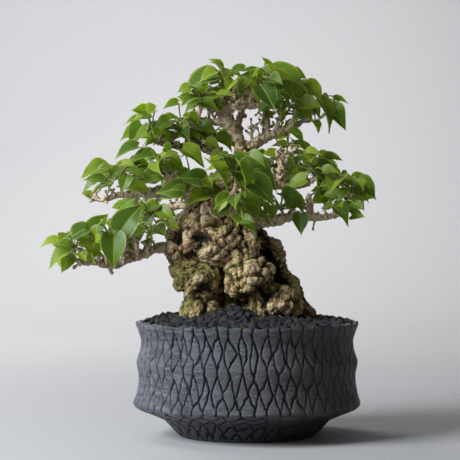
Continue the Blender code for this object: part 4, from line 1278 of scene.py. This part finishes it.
# The leaf blade: places along it, half widths there, and places across it from edge to edge.
BLADE_ROWS = [0, .04, .1, .18, .28, .4, .52, .64, .74, .82, .89, .95, 1]
BLADE_HALF = [.2, .3, .375, .415, .425, .4, .34, .255, .17, .105, .058, .026, .004]
BLADE_COLUMNS = [-1, -.86, -.6, -.32, -.1, 0, .1, .32, .6, .86, 1]


def blade_side(base, tip, face, hint, seeded):
    """Which way a blade's upper side looks: face is the share of its width seen from in front."""
    ahead = (tip - base).normalized()
    if face is None:
        hint.rotate(Matrix.Rotation(math.radians(seeded.uniform(-30, 30)), 3, ahead))
        return hint
    front = (FRONT - ahead * FRONT.dot(ahead)).normalized()
    side = ahead.cross(front)
    if side.z < 0:
        side.negate()
    shown = 0.3 + 0.7 * face
    return front * shown + side * math.sqrt(max(0, 1 - shown * shown))


class Foliage(Shells):
    """The leaves and stalks of one shoot, with what their material needs at each corner."""

    def __init__(self, name):
        super().__init__()
        self.name = name
        self.seeded = random.Random(name + "_look")
        self.tone, self.margin, self.underside, self.spread = [], [], [], []
        self.stalk_faces = set()

    def stalk(self, path, sides=6):
        points, faces = len(self.points), len(self.faces)
        self.tube(path, sides)
        self.stalk_faces.update(range(faces, len(self.faces)))
        for marks, plain in ((self.tone, 0.5), (self.margin, 0), (self.underside, 0),
                             (self.spread, (0.5, 0.5))):
            marks += [plain] * (len(self.points) - points)

    def leaf(self, base, tip, hint, tone):
        """A thin closed blade, folded along its midrib, drooping and a little wavy."""
        seeded = self.seeded
        length = (tip - base).length
        turn = leaf_turn(base, tip, hint)
        fold = seeded.uniform(0.25, 0.6)
        droop = seeded.uniform(0.12, 0.3)
        wave, phase = seeded.uniform(0.008, 0.03), seeded.uniform(0, TAU)
        sweep = seeded.uniform(-0.07, 0.07)
        slim = seeded.uniform(0.84, 1.02)
        rows, columns = len(BLADE_ROWS), len(BLADE_COLUMNS)
        index = {}
        for face in (1, 0):
            for row, (along, half) in enumerate(zip(BLADE_ROWS, BLADE_HALF)):
                for column, share in enumerate(BLADE_COLUMNS):
                    edge = row in (0, rows - 1) or column in (0, columns - 1)
                    if edge and not face:
                        index[0, row, column] = index[1, row, column]
                        continue
                    index[face, row, column] = len(self.points)
                    x = share * half * slim
                    y = along - 0.13 * share * share * (1 - along) ** 4
                    z = abs(x) * fold - droop * y * y + 0.05 * math.sin(y * 3)
                    z += wave * abs(share) * math.sin(phase + along * 13 + share * 2)
                    z += 0 if face else -0.012
                    place = base + turn @ Vector((x + sweep * y * y, y, z)) * length
                    self.points.append(tuple(place))
                    self.tone.append(tone)
                    self.margin.append(max(abs(share), along))
                    self.underside.append(0 if face else 1)
                    self.spread.append((0.5 + x, along))
        for row in range(rows - 1):
            for column in range(columns - 1):
                ring = ((row, column), (row, column + 1), (row + 1, column + 1), (row + 1, column))
                self.faces.append(tuple(index[1, r, c] for r, c in ring))
                self.faces.append(tuple(index[0, r, c] for r, c in reversed(ring)))

    def finished(self, name, looks):
        mesh = self.mesh(name)
        for key in ("tone", "margin", "underside"):
            store(mesh, key, getattr(self, key))
        layer = mesh.uv_layers.new(name="blade")
        for loop in mesh.loops:
            layer.data[loop.index].uv = self.spread[loop.vertex_index]
        give_look(mesh, *looks)
        for polygon in mesh.polygons:
            polygon.material_index = int(polygon.index in self.stalk_faces)
        mesh.shade_smooth()
        mesh.set_sharp_from_angle(angle=math.radians(70))
        return mesh


class Shoot(Foliage):
    """One leafy shoot: a green stem with its stalked leaves."""

    def __init__(self, name, branch, leaves, surfaces):
        super().__init__(name)
        self.centre = sum((Vector(base) for base, *_ in leaves), Vector()) / len(leaves)
        others = [surface for owner, surface in surfaces if owner != branch]
        rooted, end, self.stem = clear_stem(others, BRANCHES[branch], tree_point(self.centre))
        self.sag = Vector([self.seeded.uniform(-1, 1) for _ in range(3)]) * 1.2 * MM
        self.rooted, self.end = rooted, end
        into = rooted - (end - rooted).normalized() * 2 * MM
        self.stalk([(into, 1.1 * MM), (rooted, 1.05 * MM),
                    (rooted.lerp(end, 0.5) + self.sag, 0.85 * MM), (end, 0.7 * MM)])

    def add_leaves(self, leaves, room, surfaces):
        """Adds each leaf that finds room, and takes that room from the next ones."""
        for number, (base, tip, face, *given) in enumerate(leaves):
            base, tip = tree_point(base), tree_point(tip)
            outward = FRONT if face is not None else Vector((base.x, base.y, 0)).normalized()
            turned_out = 0.35 if face is None else face
            hint = UP * (1 - turned_out) + outward * turned_out
            start = self.rooted.lerp(self.end, 0.55 + 0.4 * (number + 1) / len(leaves))
            placed = clear_leaf([taken for _, taken in surfaces], room, start, base, tip, hint)
            if placed is None:
                continue
            base, tip, surface = placed
            surfaces.append((self.name, surface))
            self.leaf_stalk(start, base, tip)
            tone = given[0] if given else self.seeded.uniform(0.15, 0.8)
            self.leaf(base, tip, blade_side(base, tip, face, hint, self.seeded), tone)

    def leaf_stalk(self, start, base, tip):
        """A bowed stalk from the shoot's stem into the base of a blade."""
        rise = UP * (base - start).length * 0.16
        bow = start.lerp(base, 0.55) + rise + self.sag * 0.4
        self.stalk([(start, 0.62 * MM), (start.lerp(bow, 0.5) + rise * 0.2, 0.5 * MM),
                    (bow, 0.46 * MM), (bow.lerp(base, 0.6) + rise * 0.2, 0.42 * MM),
                    (base, 0.42 * MM), (base.lerp(tip, 0.05), 0.3 * MM)])


def young_leaves(name, centre, leaves):
    """Small fresh leaves behind and among the grown ones."""
    seeded = random.Random(name + "_young")
    added = []
    count = len(leaves) * YOUNG_PER_LEAF
    for number in range(count):
        heading = TAU * (number + seeded.random()) / count
        outward = Vector((math.cos(heading), math.sin(heading) * 0.6, 0)).normalized()
        spread = outward * seeded.uniform(2, 12) + UP * seeded.uniform(-8, 7)
        base = Vector(centre) + spread - FRONT * seeded.uniform(-2, 10)
        reach = (outward - UP * seeded.uniform(-0.2, 0.6)).normalized() * seeded.uniform(8, 15)
        tone = seeded.uniform(0.2, 0.85)
        added.append((tuple(base), tuple(base + reach), seeded.uniform(0.2, 0.95), tone))
    return added + SMALL_LEAVES.get(name, [])


def set_floor_and_backdrop(settings):
    """One sheet: a level floor that sweeps up into a backdrop."""
    outline = [(FLOOR_FRONT, 0.0), (FLOOR_BACK, 0.0)]
    outline += [(FLOOR_BACK + CURVE * math.sin(turn), CURVE - CURVE * math.cos(turn))
                for turn in np.linspace(0.1, math.pi / 2, 14)]
    outline.append((FLOOR_BACK + CURVE, STAGE_TOP))
    points = [(x, y, z) for y, z in outline for x in (-STAGE_HALF, STAGE_HALF)]
    faces = [(2 * n, 2 * n + 1, 2 * n + 3, 2 * n + 2) for n in range(len(outline) - 1)]
    mesh = new_mesh("floor_and_backdrop", points, faces)
    mesh.shade_smooth()
    look = Look("plain_backdrop", 0.2)
    tone = look.noise(0.6, 2)
    plain = tuple(settings.backdrop)
    rise = look.span(look.axis(2), 0, 0.25, 1.15, 1)
    colour = look.mix(rise, (0, 0, 0), look.mix(tone, shade(plain, 0.97), plain))
    give_look(mesh, look.finish(colour, look.span(tone, 0, 1, 0.75, 0.85)))
    new_object("floor_and_backdrop", mesh)


def add_light(name, place, aim, size, power, colour, spread):
    light = bpy.data.lights.new(name, "AREA")
    light.shape = "DISK"
    light.size = size
    light.energy = power
    light.color = colour
    light.spread = math.radians(spread)
    lamp = new_object(name, light)
    lamp.location = place
    lamp.rotation_euler = (Vector(aim) - Vector(place)).to_track_quat("-Z", "Y").to_euler()


class BONSAI_OT_pot(bpy.types.Operator):
    """Turn the pot, carve its net of cuts and open its drainage holes"""
    bl_idname = "bonsai.pot"
    bl_label = "Carved pot"

    def execute(self, context):
        settings = context.scene.bonsai_pot
        drilled = new_object("drilled", make_pot_mesh(settings))
        drills = Shells()
        for step in range(DRAIN_HOLES):
            turn = TAU * (step + 0.25) / DRAIN_HOLES
            foot = Vector((math.cos(turn), math.sin(turn), 0)) * DRAIN_CIRCLE * MM
            drills.tube([(foot - UP * 8 * MM, DRAIN_RADIUS * MM),
                         (foot + UP * 16 * MM, DRAIN_RADIUS * MM)], 32)
        drill = new_object("drills", drills.mesh("drills"))
        cut = drilled.modifiers.new("drain_holes", "BOOLEAN")
        cut.operation = "DIFFERENCE"
        cut.solver = "EXACT"
        cut.object = drill
        finished = evaluated_mesh(drilled)
        for helper in (drilled, drill):
            bpy.data.objects.remove(helper)
        give_look(finished, stoneware_look(settings))
        finished.shade_smooth()
        finished.set_sharp_from_angle(angle=math.radians(55))
        add_piece("carved_pot", finished, "dark_stoneware", "pot")
        return {"FINISHED"}


class BONSAI_OT_dressing(bpy.types.Operator):
    """Heap lava grit over the soil"""
    bl_idname = "bonsai.dressing"
    bl_label = "Lava dressing"

    def execute(self, context):
        mesh = make_dressing_mesh(context.scene.bonsai_dressing)
        add_piece("lava_dressing", mesh, "lava_grit", "top_dressing")
        return {"FINISHED"}


class BONSAI_OT_filling(bpy.types.Operator):
    """Give the soil, the gravel and the drainage screens their finishes"""
    bl_idname = "bonsai.filling"
    bl_label = "Soil, gravel and screens"

    def execute(self, context):
        looks = {
            "potting_soil": crumb_look("potting_soil", (0.03, 0.02, 0.013), (0.10, 0.07, 0.045),
                                       1.8 * MM, 0.5 * MM),
            "drainage_gravel": crumb_look("pumice_gravel", (0.25, 0.21, 0.16),
                                          (0.58, 0.54, 0.46), 4 * MM, 1.2 * MM),
        }
        plastic = net_plastic_look()
        looks.update({f"drain_screen_{step + 1}": plastic for step in range(DRAIN_HOLES)})
        for node, look in looks.items():
            give_look(frame["nodes"][node].data, look)
        return {"FINISHED"}


class BONSAI_OT_trunk(bpy.types.Operator):
    """Grow the knobbly trunk and its buttress"""
    bl_idname = "bonsai.trunk"
    bl_label = "Gnarled trunk"

    def execute(self, context):
        settings = context.scene.bonsai_wood
        mesh = make_trunk_mesh(settings)
        give_look(mesh, bark_look(settings, "knobbly_bark", tuple(settings.bark)))
        mesh.shade_smooth()
        add_piece("gnarled_trunk", mesh, "knobbly_bark", "trunk")
        return {"FINISHED"}


class BONSAI_OT_branches(bpy.types.Operator):
    """Grow the limbs and branches with their pruned spurs"""
    bl_idname = "bonsai.branches"
    bl_label = "Limbs and branches"

    def execute(self, context):
        settings = context.scene.bonsai_wood
        look = bark_look(settings, "branch_bark", tuple(settings.twig))
        for name, lines in BRANCHES.items():
            mesh = make_branch_mesh(name, lines)
            give_look(mesh, look)
            mesh.shade_smooth()
            add_piece("spurred_" + name, mesh, "branch_bark", name)
        return {"FINISHED"}


class BONSAI_OT_shoots(bpy.types.Operator):
    """Set the leafy shoots on their branches"""
    bl_idname = "bonsai.shoots"
    bl_label = "Leafy shoots"

    def execute(self, context):
        settings = context.scene.bonsai_leaves
        looks = leaf_look(settings), stalk_look(settings)
        room = blade_mesh()
        surfaces = []
        for woody in ("trunk", *BRANCHES):
            shells = bmesh.new()
            shells.from_mesh(frame["nodes"][woody].data)
            surfaces.append((woody, surface_of(shells)))
        filling = [(name, branch, filling_leaves(name, centre, count))
                   for name, branch, centre, count in FILLING_SHOOTS]
        shoots = []
        for name, branch, leaves in SHOOTS + filling:
            shoot = Shoot(name, branch, leaves, surfaces)
            shoot.add_leaves(leaves, room, surfaces)
            surfaces.append((name, shoot.stem))
            shoots.append((shoot, leaves))
        for shoot, leaves in shoots:
            young = young_leaves(shoot.name, shoot.centre, leaves)
            shoot.add_leaves(young, room, surfaces)
            mesh = shoot.finished(shoot.name, looks)
            add_piece("leaves_" + shoot.name, mesh, "leafy_shoot", "shoot_" + shoot.name)
        return {"FINISHED"}


class BONSAI_OT_stage(bpy.types.Operator):
    """Set up the floor, the backdrop, the lights and the camera"""
    bl_idname = "bonsai.stage"
    bl_label = "Stage, lights and camera"

    def execute(self, context):
        scene = context.scene
        settings = scene.bonsai_stage
        set_floor_and_backdrop(settings)
        for name, place, aim, size, power, colour, spread in LIGHTS:
            add_light(name, place, aim, size, settings.key * power, colour, spread)
        world = bpy.data.worlds.new("soft_room")
        world.use_nodes = True
        sky = world.node_tree.nodes["Background"].inputs
        sky["Color"].default_value = SKY_COLOUR
        sky["Strength"].default_value = SKY_STRENGTH
        scene.world = world
        scene.view_settings.view_transform = "Standard"
        camera = bpy.data.cameras.new("camera")
        camera.lens = settings.lens
        camera.sensor_width = 36
        camera.clip_start = 0.01
        eye = new_object("camera", camera)
        eye.location = EYE
        eye.rotation_euler = (math.radians(90), 0, 0)
        scene.camera = eye
        return {"FINISHED"}


OPERATORS = (BONSAI_OT_pot, BONSAI_OT_filling, BONSAI_OT_dressing, BONSAI_OT_trunk,
             BONSAI_OT_branches, BONSAI_OT_shoots, BONSAI_OT_stage)


class BONSAI_PT_panel(bpy.types.Panel):
    bl_idname = "BONSAI_PT_panel"
    bl_label = "Bonsai tree in a pot"
    bl_space_type = "VIEW_3D"
    bl_region_type = "UI"
    bl_category = "Bonsai"

    def draw(self, context):
        for operator in OPERATORS:
            self.layout.operator(operator.bl_idname)
        for key, group in SETTINGS.items():
            box = self.layout.box()
            for name in group.__annotations__:
                box.prop(getattr(context.scene, key), name)


def register():
    for group in SETTINGS.values():
        bpy.utils.register_class(group)
    for cls in (*OPERATORS, BONSAI_PT_panel):
        bpy.utils.register_class(cls)
    for key, group in SETTINGS.items():
        setattr(bpy.types.Scene, key, PointerProperty(type=group))


def unregister():
    for key in SETTINGS:
        delattr(bpy.types.Scene, key)
    for cls in (BONSAI_PT_panel, *reversed(OPERATORS), *SETTINGS.values()):
        bpy.utils.unregister_class(cls)


def main():
    register()
    for operator in OPERATORS:
        group, call = operator.bl_idname.split(".")
        getattr(getattr(bpy.ops, group), call)()


if __name__ == "__main__":
    main()
